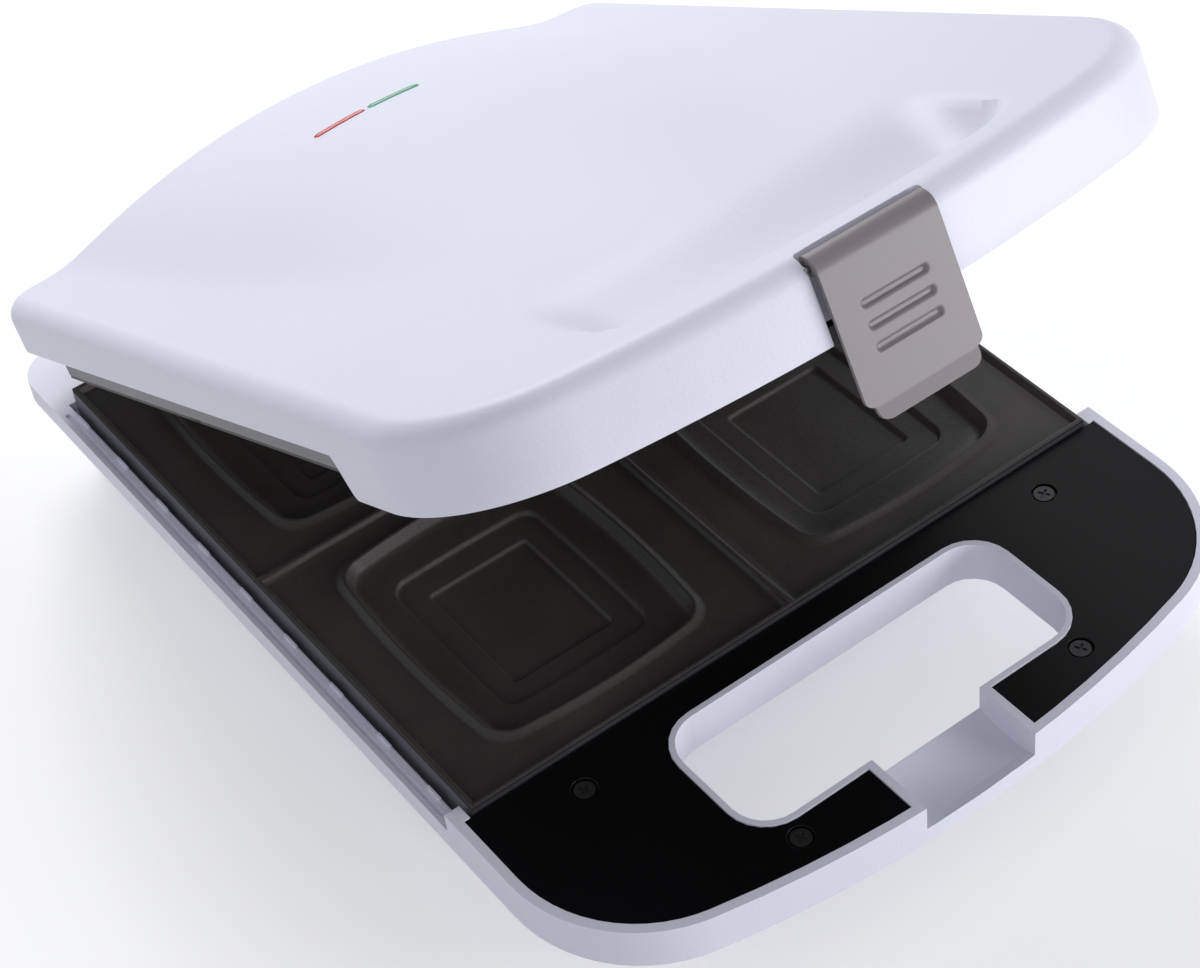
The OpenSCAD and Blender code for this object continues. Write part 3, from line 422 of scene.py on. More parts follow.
# How far the block reaches ahead of the lid, and its foot and top, all well outside the skin
BLOCK_AHEAD, BLOCK_FOOT, BLOCK_TOP = 30, -20, 60
SKIN_SHARP = math.radians(35)
recess_outline = rounded_rectangle(-RECESS_HALF, FRONT_Y - BLOCK_AHEAD, RECESS_HALF,
                                   FRONT_Y + RECESS_DEEP, RECESS_ROUND)
carve(skin, prism("recess", recess_outline, BLOCK_FOOT, BLOCK_TOP, lid_place))
skin.data.set_sharp_from_angle(angle=SKIN_SHARP)
print("lid skin after carving:", len(skin.data.polygons), "faces")

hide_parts("lid_shell")
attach(skin, "lid")

# %% [markdown]
# ## The cooking plates
# Each plate is a casting with four pockets. A pocket is a set of rounded squares, one
# inside the other, each lower than the last, with a thin raised crest round the outside.
# A profile of (height, size, corner radius) is carried round the square, so that every
# edge lies along a row of the mesh.

# %% Plate profile
PLATE = 250.0
HALF_PLATE = PLATE / 2
POCKET_X = PLATE / 4
POCKET_SHIFT = 1.5
FLOOR = -2.5
RIM_T = 1.5
RIDGE_TOP = -0.8
# Distances from the edge, or from a ridge's middle, over which the land slopes
RIM_SLOPE = (RIM_T - 0.3, RIM_T + 1.5)
RIDGE_SLOPE = (0.5, 1.9)
RIDGE_END = (RIM_T + 0.9, RIM_T + 2.3)
# A low fillet along the ridges' feet, and the rounding of the rim's outer edge
FILLET_HIGH, FILLET_SLOPE = 0.35, (1.5, 4.6)
EDGE_DROP, EDGE_RUN = 0.35, 0.5


def rounded_ring(half_x, half_y, radius, bow, side=12, corner=10):
    """Rounded rectangle whose sides swell outwards by bow at their middles; a corner is a quarter arc."""
    radius = min(radius, half_x - 0.2, half_y - 0.2)
    t = np.linspace(-1, 1, side + 1)[:-1]
    a = np.linspace(0, np.pi / 2, corner + 1)[:-1]
    sx, sy = half_x - radius, half_y - radius
    swell = bow * (1 - t ** 2)
    right = np.stack([half_x + swell, sy * t], -1)
    c1 = np.stack([sx + radius * np.cos(a), sy + radius * np.sin(a)], -1)
    top = np.stack([-sx * t, half_y + swell], -1)
    c2 = np.stack([-sx - radius * np.sin(a), sy + radius * np.cos(a)], -1)
    left = np.stack([-half_x - swell, -sy * t], -1)
    c3 = np.stack([-sx - radius * np.cos(a), -sy - radius * np.sin(a)], -1)
    low = np.stack([sx * t, -half_y - swell], -1)
    c4 = np.stack([sx + radius * np.sin(a), -sy - radius * np.cos(a)], -1)
    return np.concatenate([right, c1, top, c2, left, c3, low, c4])


# Height, half width, half length, corner radius and swell of each ring, from the foot of the
# crest to the middle of the pocket
POCKET_RINGS = [
    (-2.50, 43.9, 50.9, 11.5, 1.8), (-2.46, 43.5, 50.5, 11.4, 1.8), (-2.30, 43.0, 50.0, 11.2, 1.8),
    (-1.15, 41.5, 48.5, 10.5, 1.8), (-0.90, 41.1, 48.1, 10.3, 1.8), (-0.82, 40.7, 47.7, 10.1, 1.8),
    (-0.95, 40.3, 47.3, 9.9, 1.8), (-1.30, 40.0, 47.0, 9.7, 1.8), (-4.60, 38.7, 45.7, 9.1, 1.7),
    (-5.50, 37.9, 44.9, 8.8, 1.6), (-6.00, 36.6, 43.5, 8.4, 1.4), (-6.45, 34.0, 40.6, 7.8, 1.0),
    (-6.80, 29.7, 35.7, 7.0, 0.5), (-6.83, 29.2, 35.1, 6.8, 0.4), (-7.00, 28.8, 34.7, 6.6, 0.4),
    (-8.50, 28.3, 34.2, 6.2, 0.3), (-8.80, 27.9, 33.7, 5.8, 0.3), (-8.95, 27.0, 32.7, 5.2, 0.2),
    (-9.15, 20.4, 25.6, 2.4, 0.0), (-9.18, 20.0, 25.2, 2.2, 0.0), (-9.35, 19.7, 24.9, 2.0, 0.0),
    (-10.2, 19.3, 24.5, 1.8, 0.0), (-10.5, 18.9, 24.1, 1.6, 0.0), (-10.6, 18.0, 23.1, 1.4, 0.0),
    (-10.6, 9.0, 12.5, 1.0, 0.0), (-10.6, 1.2, 1.8, 0.4, 0.0),
]
# Room between the two plates' rims when the lid is shut, for each plate
SHUT_GAP = 0.05
# Distances of the rings that lie along the cell's border, from the border inwards. The first
# ones keep sharp corners, and the others have a corner radius in proportion to their distance.
BORDER_STEPS = [0.0, 0.5, 0.8, 1.2, 1.6, 1.9, 2.3, 2.8, 3.4, 4.0, 4.6, 5.4, 6.6]
SHARP_UNTIL, SHARP_CORNER, CORNER_SHARE = 3, 0.02, 0.8
LAND_SHARES = (0.35, 0.7)


def land_height(x, y):
    """Height outside the pockets: the floor, the rim along the edge and the two crossing ridges."""
    edge = np.minimum(HALF_PLATE - np.abs(x), HALF_PLATE - np.abs(y))
    rim = FLOOR - FLOOR * (1 - smoothstep(*RIM_SLOPE, edge))
    rim = rim - EDGE_DROP * (1 - np.clip(edge / EDGE_RUN, 0, 1)) ** 2
    across = np.minimum(np.abs(x), np.abs(y))
    crest = (RIDGE_TOP - FLOOR) * (1 - smoothstep(*RIDGE_SLOPE, across))
    crest = crest + FILLET_HIGH * (1 - smoothstep(*FILLET_SLOPE, across))
    ends = smoothstep(*RIDGE_END, edge)
    return np.minimum(np.maximum(rim, FLOOR + crest * ends), -SHUT_GAP)


def plate_cell():
    """One quarter of a plate: rings from the cell's border in to the crest, then the pocket's rings."""
    rings = []
    cx, cy = POCKET_X, HALF_PLATE / 2 - POCKET_SHIFT
    for d in BORDER_STEPS:
        corner = SHARP_CORNER if d < SHARP_UNTIL else d * CORNER_SHARE
        rings.append(rounded_ring(POCKET_X - d, POCKET_X - d, corner, 0) + POCKET_X)
    outer = rings[-1]
    first = rounded_ring(*POCKET_RINGS[0][1:4], POCKET_RINGS[0][4]) + [cx, cy]
    for share in LAND_SHARES:
        rings.append((1 - share) * outer + share * first)
    points = [np.concatenate([r, land_height(r[:, 0], r[:, 1])[:, None]], -1) for r in rings]
    for z, hx, hy, radius, bow in POCKET_RINGS:
        flat = rounded_ring(hx, hy, radius, bow) + [cx, cy]
        points.append(np.concatenate([flat, np.full((len(flat), 1), z)], -1))
    return np.stack(points)


PLATE_DEEP = 14.0
CAST_T = 2.0
COAT_EDGE = 1.4
# Rounding of the wall's foot: its height, outside and inside, and its reach on the inner side
FOOT_ROUND, FOOT_INNER = 0.4, 0.3
COATING_SHARP, CASTING_SHARP = math.radians(40), math.radians(30)


def plate_faces():
    """Four mirrored cells, as points and faces whose normals look up."""
    cell = plate_cell()
    rings, n = cell.shape[:2]
    points, faces = [], []
    for k, (sx, sy) in enumerate(((1, 1), (-1, 1), (-1, -1), (1, -1))):
        index = k * rings * n + np.arange(rings * n).reshape(rings, n)
        quads, cap = grid_faces(index, wrap=True), index[-1][None]
        if sx * sy < 0:
            quads, cap = quads[:, ::-1], cap[:, ::-1]
        points.append(cell.reshape(-1, 3) * [sx, sy, 1])
        faces += [quads, cap]
    return np.concatenate(points), faces


def wall_ring(half, z, count=60):
    """A square ring at one height, anticlockwise from the front left corner."""
    t = np.linspace(-half, half, count + 1)[:-1]
    h = np.full(count, half)
    sides = ((t, -h), (h, t), (-t, h), (-h, -t))
    flat = np.concatenate([np.stack(side, -1) for side in sides])
    return np.concatenate([flat, np.full((len(flat), 1), z)], -1)


def tidy(thing, distance=1e-5):
    """Joins points that lie on each other, as where two mirrored halves meet."""
    work = bmesh.new()
    work.from_mesh(thing.data)
    bmesh.ops.remove_doubles(work, verts=work.verts, dist=distance)
    work.to_mesh(thing.data)
    work.free()
    return thing


def thicken(thing, thickness):
    """Solidify inwards, baked, so that an open skin becomes a closed wall."""
    modifier = thing.modifiers.new("wall", "SOLIDIFY")
    modifier.thickness = thickness * MM
    modifier.offset = -1
    modifier.use_even_offset = False
    modifier.use_rim = True
    return baked(thing)


def flip_for_lid(points):
    """Lower plate coordinates turned over to hang above: z changes sign, so faces turn round too."""
    return np.asarray(points) * [1, 1, -1]


def cooking_face(name, place, above):
    """The coated face of one plate with a thickness of metal."""
    points, faces = plate_faces()
    points = points + [0, HALF_PLATE, 0]
    if above:
        points, faces = flip_for_lid(points), [f[:, ::-1] for f in faces]
    thing = tidy(make_mesh(name, place(points), faces))
    thicken(thing, CAST_T)
    thing.data.set_sharp_from_angle(angle=COATING_SHARP)
    return thing


def plate_wall(name, place, above):
    """The plate's bare outer wall: a closed ring of metal, rounded where it meets the coating."""
    profile = [(0.0, -COAT_EDGE), (0.0, -PLATE_DEEP + FOOT_ROUND), (FOOT_ROUND, -PLATE_DEEP),
               (CAST_T - FOOT_INNER, -PLATE_DEEP), (CAST_T, -PLATE_DEEP + FOOT_ROUND), (CAST_T, -COAT_EDGE)]
    rings = np.stack([wall_ring(HALF_PLATE - inset, z) for inset, z in profile])
    count, n = rings.shape[:2]
    index = np.arange(count * n).reshape(count, n)
    faces = grid_faces(np.concatenate([index, index[:1]]), wrap=True)[:, ::-1]
    points = rings.reshape(-1, 3) + [0, HALF_PLATE, 0]
    if above:
        points, faces = flip_for_lid(points), faces[:, ::-1]
    thing = make_mesh(name, place(points), [faces])
    thing.data.set_sharp_from_angle(angle=CASTING_SHARP)
    return thing


for level, place, body, above in (("lower", base_place, "base", False), ("upper", lid_place, "lid", True)):
    face = cooking_face(level + "_cooking_face", place, above)
    wall = plate_wall(level + "_plate_wall", place, above)
    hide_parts(level + "_plate")
    for thing in (face, wall):
        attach(thing, body)
    print(face.name, "faces:", len(face.data.polygons))

# %% [markdown]
# ## The latch
# The real latch is pressed from sheet: a bend over its pin, a flat plate with three finger
# grooves, and a lip. Its side view is a path of arcs and lines, and the sheet is that path
# carried across the width. The width itself changes along the path, which rounds the
# corners, and the grooves are a dent along the normal.

# %% Latch sheet
PIN_Y, PIN_Z = -86.8, 21.0
LATCH_HALF = 20.5
LATCH_T = 1.2
# Side view: where the sheet starts, its short rise behind the pin, the radius of its two
# bends, the flat plate, and the lip with its own small bend
SHEET_START = (-84.0, PIN_Z)
SHEET_RISE, BACK_BEND_R, FRONT_BEND_R = 2.1, 1.6, 5.3
PLATE_LONG, LIP_BEND, LIP_LONG, LIP_FLARE = 39.6, 0.8, 4.4, math.radians(12)
# Front view: length from the fold to the end, and the corner radius at each
FOLD_TO_END, FOLD_CORNER, LIP_CORNER = 5.0, 2.6, 3.6
GROOVES_Z = (6.4, 0.0, -6.4)
GROOVE_HALF, GROOVE_DEEP, GROOVE_SLOPE, GROOVES_FROM = 10.2, 1.1, (0.5, 1.6), 13
SHEET_SHARP = math.radians(40)


def path_of(start, heading, steps, spacing=0.35):
    """Side view from (length, turn) steps: the heading turns evenly along each step."""
    points = [np.array([start], float)]
    for length, turned in steps:
        count = max(2, int(round(length / spacing)))
        angles = heading + turned * (np.arange(count) + 0.5) / count
        stride = np.stack([np.cos(angles), np.sin(angles)], -1) * length / count
        points.append(points[-1][-1] + np.cumsum(stride, 0))
        heading += turned
    return np.concatenate(points)


def latch_path():
    """Up behind the pin, over the bend, down the flat plate and out along the lip."""
    quarter = math.pi / 2
    return path_of(SHEET_START, quarter, [
        (SHEET_RISE, 0), (BACK_BEND_R * quarter, quarter), (FRONT_BEND_R * quarter, quarter),
        (PLATE_LONG, 0), (LIP_BEND, -LIP_FLARE), (LIP_LONG, 0)])


def latch_width(along, total):
    """Half width: full, then a rounded corner at the fold, then the narrower lip with its own corner."""
    before = np.clip((along - (total - FOLD_TO_END - FOLD_CORNER)) / FOLD_CORNER, 0, 1)
    width = LATCH_HALF - FOLD_CORNER * (1 - np.sqrt(1 - before ** 2))
    near = np.clip((along - (total - LIP_CORNER)) / LIP_CORNER, 0, 0.999)
    return width - LIP_CORNER * (1 - np.sqrt(1 - near ** 2))


def latch_sheet():
    """The path carried across the width, dented where the finger grooves are."""
    path = latch_path()
    steps = np.linalg.norm(np.diff(path, axis=0), axis=1)
    along = np.concatenate([[0], np.cumsum(steps)])
    tangent = np.gradient(path, along, axis=0)
    tangent /= np.linalg.norm(tangent, axis=1)[:, None]
    normal = np.stack([tangent[:, 1], -tangent[:, 0]], -1)
    u = np.linspace(-1, 1, 121)
    x = latch_width(along, along[-1])[:, None] * u[None]
    y = np.repeat(path[:, :1], len(u), 1)
    z = np.repeat(path[:, 1:], len(u), 1)
    dent = np.zeros_like(x)
    for height in GROOVES_Z:
        away = np.hypot(np.maximum(np.abs(x) - GROOVE_HALF, 0), z - height)
        dent -= GROOVE_DEEP * (1 - smoothstep(*GROOVE_SLOPE, away))
    dent = dent * (along > GROOVES_FROM)[:, None]
    y, z = y + normal[:, :1] * dent, z + normal[:, 1:] * dent
    grid = np.stack([x, y, z], -1)
    index = np.arange(x.size).reshape(x.shape)
    sheet = make_mesh("latch_sheet", lid_place(grid.reshape(-1, 3)), [grid_faces(index)[:, ::-1]])
    print("latch side view ends at", path[-1].round(1), "length", round(float(along[-1]), 1))
    return sheet


sheet = latch_sheet()
thicken(sheet, LATCH_T)
sheet.data.set_sharp_from_angle(angle=SHEET_SHARP)

# %% [markdown]
# Three solid pieces go with the sheet: the rolled eye that turns on the pin, the catch that
# hooks under the base's bar, and the pin itself, which belongs to the lid.

# %% Catch, eye and pin
EYE_R, EYE_HALF = 2.4, 20.2
PIN_R, PIN_HALF = 1.2, 21.9
CATCH_HALF = 18
# Side view of the catch, in y and z
CATCH_SHAPE = [(-90.3, -19.0), (-90.3, -20.4), (-85.6, -20.4), (-84.9, -19.7), (-84.9, -19.0)]
CATCH_SOFT, EYE_SOFT, PIN_SOFT = 0.25, 0.3, 0.2
BEVEL_FROM = math.radians(30)


def swept(name, outline, x0, x1, place):
    """A closed side view (y, z) carried straight across from x0 to x1, with capped ends."""
    outline = np.asarray(outline, float)
    n = len(outline)
    ends = [np.concatenate([np.full((n, 1), x), outline], -1) for x in (x0, x1)]
    index = np.arange(2 * n).reshape(2, n)
    area = np.sum(outline[:, 0] * np.roll(outline[:, 1], -1) - np.roll(outline[:, 0], -1) * outline[:, 1])
    faces = [grid_faces(index, wrap=True), index[0][::-1][None], index[1][None]]
    if area < 0:
        faces = [f[:, ::-1] for f in faces]
    return make_mesh(name, place(np.concatenate(ends)), faces, smooth=False)


def round_bar(name, radius, half, count):
    """A round bar on the latch's axis."""
    return swept(name, arc(PIN_Y, PIN_Z, radius, 0, 360, count)[:-1], -half, half, lid_place)


def rounded(thing, width, segments=2):
    """A Bevel on every edge sharper than 30 degrees."""
    modifier = thing.modifiers.new("soft edges", "BEVEL")
    modifier.width = width * MM
    modifier.segments = segments
    modifier.limit_method = "ANGLE"
    modifier.angle_limit = BEVEL_FROM
    modifier.harden_normals = False
    return thing


catch = rounded(swept("latch_catch", CATCH_SHAPE, -CATCH_HALF, CATCH_HALF, lid_place), CATCH_SOFT)
eye = rounded(round_bar("latch_eye", EYE_R, EYE_HALF, 32), EYE_SOFT)
pin = rounded(round_bar("latch_pin_rod", PIN_R, PIN_HALF, 24), PIN_SOFT)
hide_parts("latch_pin")
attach(pin, "lid")
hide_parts("latch")
for thing in (sheet, catch, eye):
    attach(thing, "latch")
print("latch pieces:", sheet.name, catch.name, eye.name, pin.name)

# %% [markdown]
# ## The two indicator windows
# Two narrow windows follow the crown near its top, red on the left and green on the
# right. Each is a strip whose rows run along the crown, lifted a little in its middle.

# %% Indicator windows
WINDOW_Y, WINDOW_HALF, WINDOW_WIDE, WINDOW_PROUD = 206.5, 22.0, 3.6, 0.6
WINDOW_SUNK, WINDOW_APART = 0.6, 0.6
WINDOW_SHARP = math.radians(50)


def window_strip(name, x0, x1):
    """Closed strip: height = lid top + proud x (1 - across^4) over the width, and a flat underside."""
    t = np.linspace(0, 1, 41)
    s = np.linspace(-1, 1, 13)
    end = WINDOW_WIDE / 2
    along = x0 + (x1 - x0) * t
    near_end = np.minimum(along - x0, x1 - along)
    half = end * np.sqrt(np.clip(1 - (1 - np.clip(near_end / end, 0, 1)) ** 2, 0.02, 1))
    x = np.repeat(along[:, None], len(s), 1)
    y = WINDOW_Y + half[:, None] * s[None]
    z = lid_top(x, y)
    up = z + WINDOW_PROUD * (1 - np.abs(s[None]) ** 4) * np.clip(near_end / end, 0, 1)[:, None] ** 0.5
    upper = np.stack([x, y, up], -1)
    lower = np.stack([x, y, z - WINDOW_SUNK], -1)
    index = np.arange(x.size).reshape(x.shape)
    low = index + x.size
    rim = np.concatenate([index[:, 0], index[-1, 1:], index[::-1, -1][1:], index[0, ::-1][1:-1]])
    edge = grid_faces(np.stack([rim, rim + x.size]), wrap=True)
    faces = [grid_faces(index)[:, ::-1], grid_faces(low), edge]
    return make_mesh(name, lid_place(np.concatenate([upper.reshape(-1, 3), lower.reshape(-1, 3)])), faces)


for name, x0, x1 in (("red", -WINDOW_HALF, -WINDOW_APART), ("green", WINDOW_APART, WINDOW_HALF)):
    strip = window_strip(name + "_window_strip", x0, x1)
    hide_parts(name + "_lens")
    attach(strip, "lid")
    strip.data.set_sharp_from_angle(angle=WINDOW_SHARP)
print("windows: red and green")

# %% [markdown]
# ## Soft edges for the moulded parts
# No moulding has a knife edge. A merged copy of each large plastic part gets a small
# Bevel, and stands in for the part it was copied from.


# %% Soft copies of measured parts
SAME_POINT = 2e-6
FLAT_WITHIN = math.radians(0.6)
PART_SHARP = math.radians(30)
SHELL_SOFT, COVER_SOFT = 0.5, 0.4


def soft_copy(node, body, width):
    """Merged copy of a measured part, flat regions joined, with a Bevel and even shading."""
    source = nodes[node]
    thing = bpy.data.objects.new(node + "_soft", source.data.copy())
    bpy.context.scene.collection.objects.link(thing)
    work = bmesh.new()
    work.from_mesh(thing.data)
    bmesh.ops.remove_doubles(work, verts=work.verts, dist=SAME_POINT)
    bmesh.ops.dissolve_limit(work, angle_limit=FLAT_WITHIN, verts=work.verts, edges=work.edges)
    for face in work.faces:
        face.smooth = True
    work.to_mesh(thing.data)
    work.free()
    thing.data.set_sharp_from_angle(angle=PART_SHARP)
    rounded(thing, width)
    even = thing.modifiers.new("even_shading", "WEIGHTED_NORMAL")
    even.keep_sharp = True
    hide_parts(node)
    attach(thing, body)
    return thing


shell = soft_copy("base_shell", "base", SHELL_SOFT)
cover = soft_copy("handle_cover", "base", COVER_SOFT)
print("soft copies:", len(shell.data.polygons), len(cover.data.polygons))

# %% [markdown]
# ## Finishes
# Each finish is a Principled shader. What varies over a surface comes from two shared
# groups: a fine grain, and a slow drift of tone and gloss. Both read Object coordinates.


# %% Shared groups
# How much of the tone comes from the fine noise
FINE_SHARE = 0.35


def socket(group, name, kind, side, value=None):
    """Adds one named socket to a shader group."""
    made = group.interface.new_socket(name=name, in_out=side, socket_type="NodeSocket" + kind)
    if value is not None:
        made.default_value = value


def wire(tree, pairs):
    """Links pairs of sockets."""
    for a, b in pairs:
        tree.links.new(a, b)


def grain_group():
    """A fine noise is the height. It and a coarse one set the tone, and the coarse one sets the gloss."""
    group = bpy.data.node_groups.new("fine_grain", "ShaderNodeTree")
    socket(group, "Place", "Vector", "INPUT")
    socket(group, "Fine Scale", "Float", "INPUT", 1500.0)
    socket(group, "Drift Scale", "Float", "INPUT", 12.0)
    socket(group, "Light Tone", "Color", "INPUT", (0.8, 0.8, 0.8, 1))
    socket(group, "Dark Tone", "Color", "INPUT", (0.7, 0.7, 0.7, 1))
    socket(group, "Smooth", "Float", "INPUT", 0.4)
    socket(group, "Rough", "Float", "INPUT", 0.5)
    for name, kind in (("Tone", "Color"), ("Roughness", "Float"), ("Height", "Float")):
        socket(group, name, kind, "OUTPUT")
    n = group.nodes
    enter, leave = n.new("NodeGroupInput"), n.new("NodeGroupOutput")
    fine, drift = n.new("ShaderNodeTexNoise"), n.new("ShaderNodeTexNoise")
    fine.inputs["Detail"].default_value = 2.0
    drift.inputs["Detail"].default_value = 3.0
    tone = n.new("ShaderNodeMix")
    tone.data_type = "RGBA"
    gloss = n.new("ShaderNodeMapRange")
    blend = n.new("ShaderNodeMath")
    blend.operation = "MULTIPLY_ADD"
    blend.inputs[1].default_value = FINE_SHARE
    wire(group, [
        (enter.outputs["Place"], fine.inputs["Vector"]),
        (enter.outputs["Fine Scale"], fine.inputs["Scale"]),
        (enter.outputs["Place"], drift.inputs["Vector"]),
        (enter.outputs["Drift Scale"], drift.inputs["Scale"]),
        (fine.outputs["Fac"], blend.inputs[0]), (drift.outputs["Fac"], blend.inputs[2]),
        (blend.outputs[0], tone.inputs["Factor"]), (enter.outputs["Dark Tone"], tone.inputs["A"]),
        (enter.outputs["Light Tone"], tone.inputs["B"]), (drift.outputs["Fac"], gloss.inputs["Value"]),
        (enter.outputs["Smooth"], gloss.inputs["To Min"]), (enter.outputs["Rough"], gloss.inputs["To Max"]),
        (tone.outputs["Result"], leave.inputs["Tone"]), (gloss.outputs["Result"], leave.inputs["Roughness"]),
        (fine.outputs["Fac"], leave.inputs["Height"])])
    return group


FINE_GRAIN = grain_group()


def finish_of(name, light, dark, smooth, rough, fine=1500.0, drift=12.0, bump=0.02, **fixed):
    """One finish: the shared grain drives colour, roughness and bump; fixed values sit on the shader."""
    material = bpy.data.materials.new(name)
    material.use_nodes = True
    tree = material.node_tree
    shader = tree.nodes["Principled BSDF"]
    for key, value in fixed.items():
        shader.inputs[key.replace("_", " ")].default_value = value
    place = tree.nodes.new("ShaderNodeTexCoord")
    grain = tree.nodes.new("ShaderNodeGroup")
    grain.node_tree = FINE_GRAIN
    relief = tree.nodes.new("ShaderNodeBump")
    relief.inputs["Strength"].default_value = 1.0
    relief.inputs["Distance"].default_value = bump * MM
    for key, value in (("Fine Scale", fine), ("Drift Scale", drift), ("Light Tone", (*light, 1)),
                       ("Dark Tone", (*dark, 1)), ("Smooth", smooth), ("Rough", rough)):
        grain.inputs[key].default_value = value
    wire(tree, [
        (place.outputs["Object"], grain.inputs["Place"]),
        (grain.outputs["Tone"], shader.inputs["Base Color"]),
        (grain.outputs["Roughness"], shader.inputs["Roughness"]),
        (grain.outputs["Height"], relief.inputs["Height"]),
        (relief.outputs["Normal"], shader.inputs["Normal"])])
    return material


print("grain group sockets:", len(FINE_GRAIN.interface.items_tree))

# %% [markdown]
# Each row gives a light and a dark tone, the smoothest and roughest value, and the size of
# the fine noise, the size of the slow drift and the height of the bump in millimetres.

# %% The finishes themselves
FINISHES = {
    "white_housing": finish_of("white_housing", (0.76, 0.765, 0.875), (0.70, 0.705, 0.82),
                               0.42, 0.5, 1000, 9, 0.06),
    "pale_inner": finish_of("pale_inner", (0.62, 0.62, 0.66), (0.56, 0.56, 0.6), 0.5, 0.6, 1200, 9, 0.03),
    "black_cover": finish_of("black_cover", (0.004, 0.004, 0.005), (0.002, 0.002, 0.0025),
                             0.26, 0.34, 1600, 10, 0.015,
                             Specular_IOR_Level=0.15),
    "nonstick": finish_of("nonstick", (0.068, 0.062, 0.058), (0.014, 0.012, 0.011),
                          0.38, 0.48, 1000, 20, 0.09,
                          Specular_IOR_Level=0.22),
    "element_steel": finish_of("element_steel", (0.2, 0.19, 0.17), (0.14, 0.13, 0.12),
                               0.4, 0.55, Metallic=0.9),
    "sheet_metal": finish_of("sheet_metal", (0.62, 0.62, 0.62), (0.5, 0.5, 0.5), 0.25, 0.4, Metallic=1.0),
    "screw_steel": finish_of("screw_steel", (0.55, 0.55, 0.56), (0.42, 0.42, 0.43),
                             0.25, 0.4, Metallic=1.0),
    "black_screw": finish_of("black_screw", (0.03, 0.03, 0.032), (0.015, 0.015, 0.016),
                             0.3, 0.42, Metallic=0.3),
    "hinge_metal": finish_of("hinge_metal", (0.5, 0.5, 0.52), (0.4, 0.4, 0.42), 0.3, 0.42, Metallic=1.0),
    "pin_steel": finish_of("pin_steel", (0.3, 0.3, 0.3), (0.25, 0.25, 0.25), 0.2, 0.3, Metallic=1.0),
    "ceramic": finish_of("ceramic", (0.75, 0.72, 0.66), (0.66, 0.63, 0.58), 0.4, 0.6),
    "fuse_metal": finish_of("fuse_metal", (0.6, 0.55, 0.45), (0.5, 0.46, 0.38), 0.3, 0.4, Metallic=1.0),
    "rubber": finish_of("rubber", (0.035, 0.035, 0.037), (0.02, 0.02, 0.022), 0.6, 0.75, 900, 20, 0.05),
    "red_window": finish_of("red_window", (0.62, 0.045, 0.06), (0.42, 0.025, 0.035),
                            0.12, 0.2, 300, 30, 0.0),
    "green_window": finish_of("green_window", (0.085, 0.42, 0.26), (0.05, 0.28, 0.17),
                              0.12, 0.2, 300, 30, 0.0),
    "lamp_glass": finish_of("lamp_glass", (0.8, 0.5, 0.3), (0.7, 0.4, 0.25), 0.1, 0.2, 300, 30, 0.0),
    "latch_taupe": finish_of("latch_taupe", (0.205, 0.178, 0.19), (0.175, 0.152, 0.163),
                             0.34, 0.42, 1500, 25, 0.02),
}
BARE_WALL = finish_of("bare_wall", (0.11, 0.11, 0.125), (0.07, 0.07, 0.08),
                      0.3, 0.45, 900, 20, 0.05, Metallic=0.6)


def coat(thing, material):
    """Puts one finish on an object."""
    if thing.data.materials:
        thing.data.materials[0] = material
    else:
        thing.data.materials.append(material)


for node in nodes.values():
    coat(node, FINISHES[node.data.materials[0].name.split(".")[0]])
for thing, slot in ((skin, "white_housing"), (shell, "white_housing"), (cover, "black_cover"),
                    (sheet, "latch_taupe"), (catch, "latch_taupe"), (eye, "latch_taupe"),
                    (pin, "pin_steel")):
    coat(thing, FINISHES[slot])
for level in ("lower", "upper"):
    coat(bpy.data.objects[level + "_cooking_face"], FINISHES["nonstick"])
    coat(bpy.data.objects[level + "_plate_wall"], BARE_WALL)
for name in ("red", "green"):
    coat(bpy.data.objects[name + "_window_strip"], FINISHES[name + "_window"])
print("finishes:", len(FINISHES) + 1)

# %% [markdown]
# ## Floor and light
# The floor is a wide pale sheet. To the camera, and in gloss, it also glows faintly, so
# that it reaches white without more light on the toaster, and it still shows the shadow.

# %% Floor
def background_rays(tree):
    """Mask that is 1 for camera, glossy and transmission rays, and 0 for the rays that light the toaster."""
    rays = tree.nodes.new("ShaderNodeLightPath")
    mask = rays.outputs["Is Camera Ray"]
    for name in ("Is Glossy Ray", "Is Transmission Ray"):
        either = tree.nodes.new("ShaderNodeMath")
        either.operation = "MAXIMUM"
        wire(tree, [(mask, either.inputs[0]), (rays.outputs[name], either.inputs[1])])
        mask = either.outputs[0]
    return mask


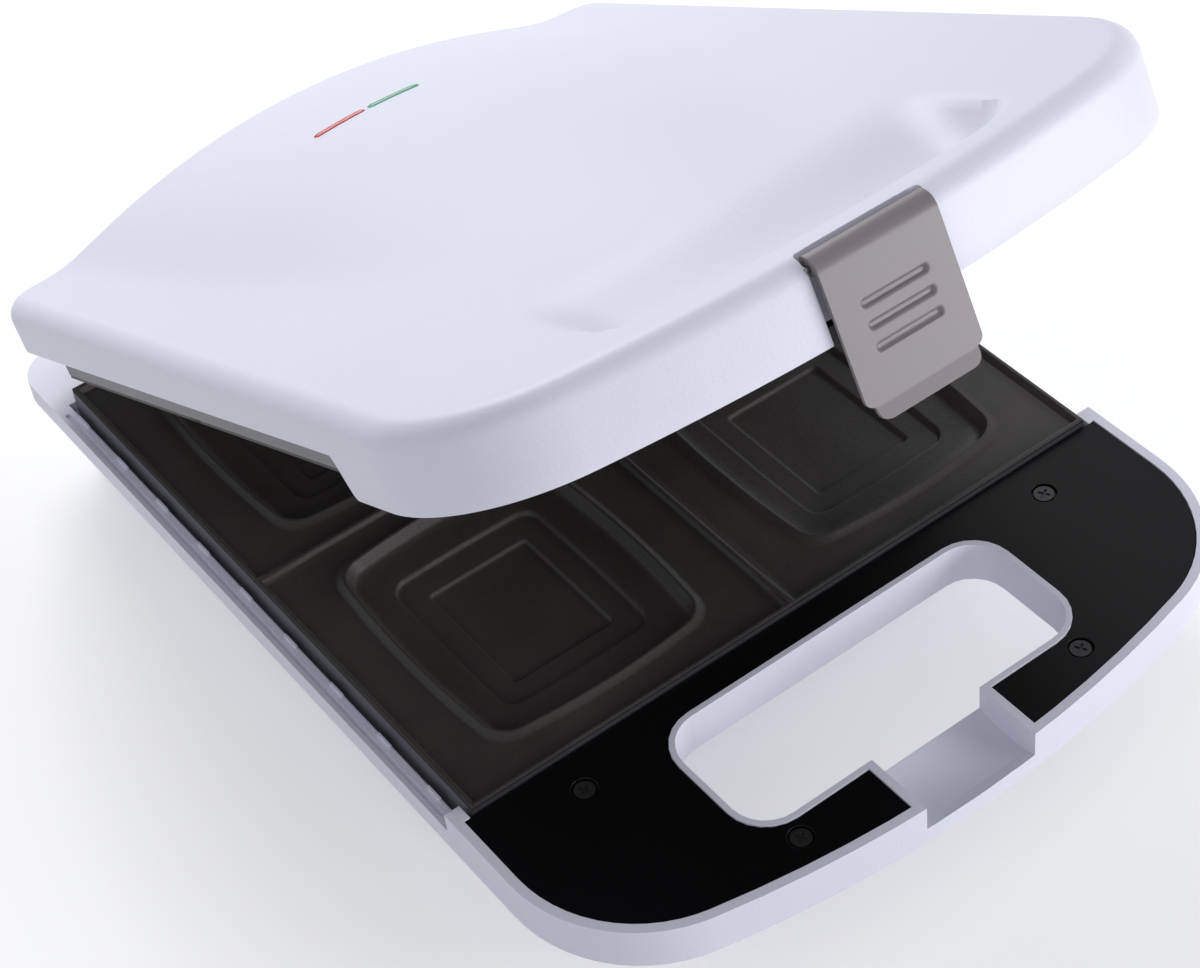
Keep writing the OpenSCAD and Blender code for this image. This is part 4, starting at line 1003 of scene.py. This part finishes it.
FLOOR_SIZE = 8.0
floor_points = np.array([[-1, -1, 0], [1, -1, 0], [1, 1, 0], [-1, 1, 0]]) * FLOOR_SIZE / 2
floor = make_mesh("floor", floor_points, [np.array([[0, 1, 2, 3]])], smooth=False)
floor_paint = bpy.data.materials.new("floor")
floor_paint.use_nodes = True
tree = floor_paint.node_tree
paint = tree.nodes["Principled BSDF"]
paint.inputs["Base Color"].default_value = (0.88, 0.88, 0.88, 1)
paint.inputs["Roughness"].default_value = 0.9
paint.inputs["Specular IOR Level"].default_value = 0.0
paint.inputs["Emission Color"].default_value = (1, 1, 1, 1)
glow = tree.nodes.new("ShaderNodeMath")
glow.operation = "MULTIPLY"
glow.inputs[1].default_value = 0.3
wire(tree, [(background_rays(tree), glow.inputs[0]), (glow.outputs[0], paint.inputs["Emission Strength"])])
coat(floor, floor_paint)

# %% [markdown]
# The surround lights the toaster softly from all sides. The camera and every reflection see
# it brighter, as plain white.

# %% World
world = bpy.data.worlds.new("pale surround")
bpy.context.scene.world = world
world.use_nodes = True
tree = world.node_tree
tree.nodes.clear()
sky = tree.nodes.new("ShaderNodeBackground")
sky.inputs["Color"].default_value = (0.95, 0.96, 1.0, 1)
level = tree.nodes.new("ShaderNodeMix")
level.inputs["A"].default_value = 0.45
level.inputs["B"].default_value = 1.0
out = tree.nodes.new("ShaderNodeOutputWorld")
wire(tree, [(background_rays(tree), level.inputs["Factor"]),
            (level.outputs["Result"], sky.inputs["Strength"]),
            (sky.outputs[0], out.inputs["Surface"])])
print("surround ready")


# %% [markdown]
# Three square lamps: a key high behind the lid, which leaves the scoop's forward slope in
# half shade, a low one in front of the toaster to the right, and a weak one from the left.

# %% Lamps
def lamp(name, at, target, size, power, colour=(1, 1, 1)):
    """A square area lamp at one point, facing another."""
    data = bpy.data.lights.new(name, "AREA")
    data.size = size
    data.energy = power
    data.color = colour
    thing = bpy.data.objects.new(name, data)
    thing.location = at
    thing.rotation_euler = (Vector(target) - Vector(at)).to_track_quat("-Z", "Y").to_euler()
    bpy.context.scene.collection.objects.link(thing)
    return thing


lamp("key", (0.35, 1.35, 1.0), (0, 0, 0.1), 0.8, 14.5)
lamp("side", (0.95, -1.25, 0.24), (0.05, -0.05, 0.1), 0.9, 17)
lamp("fill", (-1.2, -1.2, 0.9), (0, 0, 0.1), 1.2, 3)
bpy.context.scene.view_settings.view_transform = "Standard"
print("lamps ready")

# %% [markdown]
# ## Last lines
# The script ends with a short closing line.

# %% Closing line
print("done")
